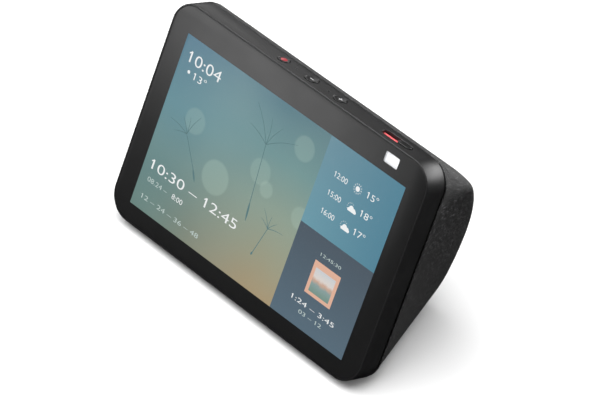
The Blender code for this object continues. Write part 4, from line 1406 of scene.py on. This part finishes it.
    @staticmethod
    def cloth_lengths(rows: list[list[Vector]]) -> list[list[tuple[float, float]]]:
        """How far along the cloth each point lies: round the body from the middle, and up it.

        Args:
            rows: the rows of points, from the table up.

        Returns:
            Rows of (round, up) in metres.
        """
        result = []
        rises = [0.0] * len(rows[0])
        for number, row in enumerate(rows):
            if number:
                rises = [rise + (a - b).length for rise, a, b in zip(rises, row, rows[number - 1])]
            rounds = [0.0] * len(row)
            for index in range(len(row) - 2, -1, -1):
                rounds[index] = rounds[index + 1] + (row[index] - row[index + 1]).length
            result.append(list(zip(rounds, rises)))
        return result


@dataclass
class PowerInlet:
    """The trim round the power socket at the lower back."""

    across: float = 0.050
    height: float = 0.034
    face: float = 0.0987 - BODY_DEPTH / 2
    half_width: float = 0.0115
    half_height: float = 0.0065
    depth: float = 0.0045

    def block(self, name: str, margin: float, front: float, back: float, radius: float) -> Shape:
        """A block with the trim's outline.

        Args:
            name: its name.
            margin: how far it goes past the trim on each side.
            front: where it starts, seen from the trim's face.
            back: where it ends, seen from the trim's face.
            radius: its corners' radius.

        Returns:
            The shape.
        """
        wide, tall = self.half_width + margin, self.half_height + margin
        low = (self.across - wide, self.face + front, self.height - tall)
        high = (self.across + wide, self.face + back, self.height + tall)
        return Shape.box(name, low, high).round_corners(1, radius, 12)

    def opening(self) -> Shape:
        """A cutter for the opening that the trim fills."""
        return self.block("knit_opening", 0.0002, -0.012, 0.010, 0.0062)

    def build(self) -> None:
        """Make the trim."""
        trim = self.block("inlet_trim", 0.0, -self.depth, 0.0, 0.0060)
        trim.round_rim(1, self.face, 0.0006, 4)
        bore = Shape.rod("bore", 0.0042, -0.02, 0.02, sides=40)
        centre = Matrix.Translation((self.across, self.face, self.height))
        bore.move(centre @ Matrix.Rotation(math.pi / 2, 4, "X"))
        mouth = Shape.rod("mouth", 0.0052, 0, 0.02, sides=40)
        step = Matrix.Translation((self.across, self.face - 0.0005, self.height))
        mouth.move(step @ Matrix.Rotation(-math.pi / 2, 4, "X"))
        trim.carve(bore, mouth).smooth(35)
        trim.hand_over("black_plastic", "black_plastic", stands_for=["port_trim"])


# Finishes of the pieces that keep their CAD shape

NODE_FINISHES = {
    "screen_picture": ("lcd_panel",),
    "light_guide": ("backlight_unit",),
    "steel": (
        "display_tray", "shield_can", "left_speaker_basket", "right_speaker_basket", "radiator_plate",
        "base_screw_1", "base_screw_2", "base_screw_3", "base_screw_4", "board_screw_left", "board_screw_right",
        "mic_camera_switch", "volume_down_switch", "volume_up_switch", "microphone_left", "microphone_right",
    ),
    "heat_sink": ("heat_sink",),
    "board": ("main_board", "button_board", "power_board"),
    "black_plastic": (
        "slab_back_cover", "rear_housing", "base_plate", "dc_jack", "radiator_frame", "shutter_carrier",
        "shutter_guide", "camera_module",
    ),
    "rubber": ("rubber_foot", "left_speaker_surround", "right_speaker_surround", "radiator_surround"),
    "foam": ("display_gasket",),
    "white_plastic": ("shutter_blade",),
    "red_plastic": ("shutter_red_strip",),
    "lens_glass": ("camera_lens",),
    "copper_film": ("antenna_left", "antenna_right", "display_ribbon", "button_ribbon"),
    "thermal_pad": ("thermal_pad",),
    "paper_cone": ("left_speaker_cone", "right_speaker_cone"),
    "magnet": ("left_speaker_magnet", "right_speaker_magnet"),
    "red_wire": ("speaker_lead_left", "speaker_lead_right"),
    "black_wire": ("power_lead",),
    "charcoal_plastic": ("front_frame", "shutter_slider", "volume_down_button", "volume_up_button", "port_trim"),
    "printed_glass": ("cover_glass",),
    "button_red": ("mic_camera_button",),
    "charcoal_knit": ("fabric_cover",),
}


def dress_nodes() -> None:
    """Give each CAD node its finish."""
    for finish, names in NODE_FINISHES.items():
        for name in names:
            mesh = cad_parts[name].data
            mesh.materials.clear()
            mesh.materials.append(MATERIALS[finish])
    left = set(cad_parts) - {name for names in NODE_FINISHES.values() for name in names}
    if left:
        raise ValueError(f"these nodes have no finish: {sorted(left)}")


# The stage


@dataclass
class Stage:
    """The pale floor, the studio lights and the camera."""

    eye: Point = (1.3360524, -1.5026156, 1.5061057)
    right: Point = (0.6813039, 0.7221917, 0.1194325)
    up: Point = (-0.4956759, 0.3351048, 0.8012554)
    back: Point = (0.5386376, -0.6050982, 0.5862812)
    lens: float = 270.0
    lamps: tuple = (
        ("overhead", (-0.14, -0.68, 2.14), (0.0, 0.0, 0.0), 2.8, 2.8, 88.0, False),
        ("behind", (0.60, 1.7, 0.75), (0.05, 0.0, 0.10), 1.5, 0.8, 42.0, True),
        ("back_left", (-0.80, 0.72, 0.36), (-0.05, 0.0, 0.13), 0.5, 0.3, 1.25, True),
        ("above_left", (-1.0, -0.3, 1.45), (0.0, 0.0, 0.12), 0.5, 0.5, 17.0, True),
        ("front_left", (-0.50, -0.58, 0.12), (-0.09, -0.02, 0.10), 0.32, 0.20, 1.45, True),
    )

    def make_floor(self) -> None:
        """A wide pale floor."""
        Shape.put_down()
        bpy.ops.mesh.primitive_plane_add(size=12, location=(0, 0, 0))
        floor = Shape("floor").obj
        floor.data.materials.append(MATERIALS["pale_floor"])
        floor.visible_glossy = False

    def make_lights(self) -> None:
        """A pale surround and soft area lamps."""
        scene = bpy.context.scene
        world = bpy.data.worlds.new("studio")
        world.use_nodes = True
        sky = world.node_tree.nodes["Background"]
        sky.inputs["Color"].default_value = (1.0, 1.0, 1.0, 1.0)
        sky.inputs["Strength"].default_value = 0.55
        world.cycles_visibility.glossy = False
        scene.world = world
        for name, place, target, width, height, power, highlights_only in self.lamps:
            bpy.ops.object.light_add(type="AREA", location=place)
            lamp = bpy.context.object
            lamp.name = name
            lamp.data.shape = "RECTANGLE"
            lamp.data.size, lamp.data.size_y = width, height
            lamp.data.energy = power
            lamp.visible_camera = False
            lamp.visible_diffuse = not highlights_only
            lamp.rotation_euler = (Vector(target) - Vector(place)).to_track_quat("-Z", "Y").to_euler()

    def make_camera(self) -> None:
        """The camera, rolled a little to the left."""
        bpy.ops.object.camera_add()
        camera = bpy.context.object
        camera.name = "camera"
        camera.data.lens = self.lens
        camera.data.sensor_width = 36.0
        camera.data.clip_start, camera.data.clip_end = 0.05, 50.0
        axes = Matrix((self.right, self.up, self.back)).transposed()
        camera.matrix_world = Matrix.Translation(self.eye) @ axes.to_4x4()
        bpy.context.scene.camera = camera

    def build(self) -> None:
        """Set the stage."""
        bpy.context.scene.view_settings.view_transform = "Standard"
        self.make_camera()
        self.make_lights()
        self.make_floor()


def main() -> None:
    """Build the display's fine pieces in order, and log the knit cover's flat size."""
    logging.basicConfig(level=logging.INFO, format="%(message)s")
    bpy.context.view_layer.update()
    Stage().build()
    dress_nodes()
    for part in (FrontSlab(), ScreenContent(), TopControls(), KnitCover(), PowerInlet()):
        part.build()
        LOG.info("finished %s", type(part).__name__)


if __name__ == "__main__":
    main()
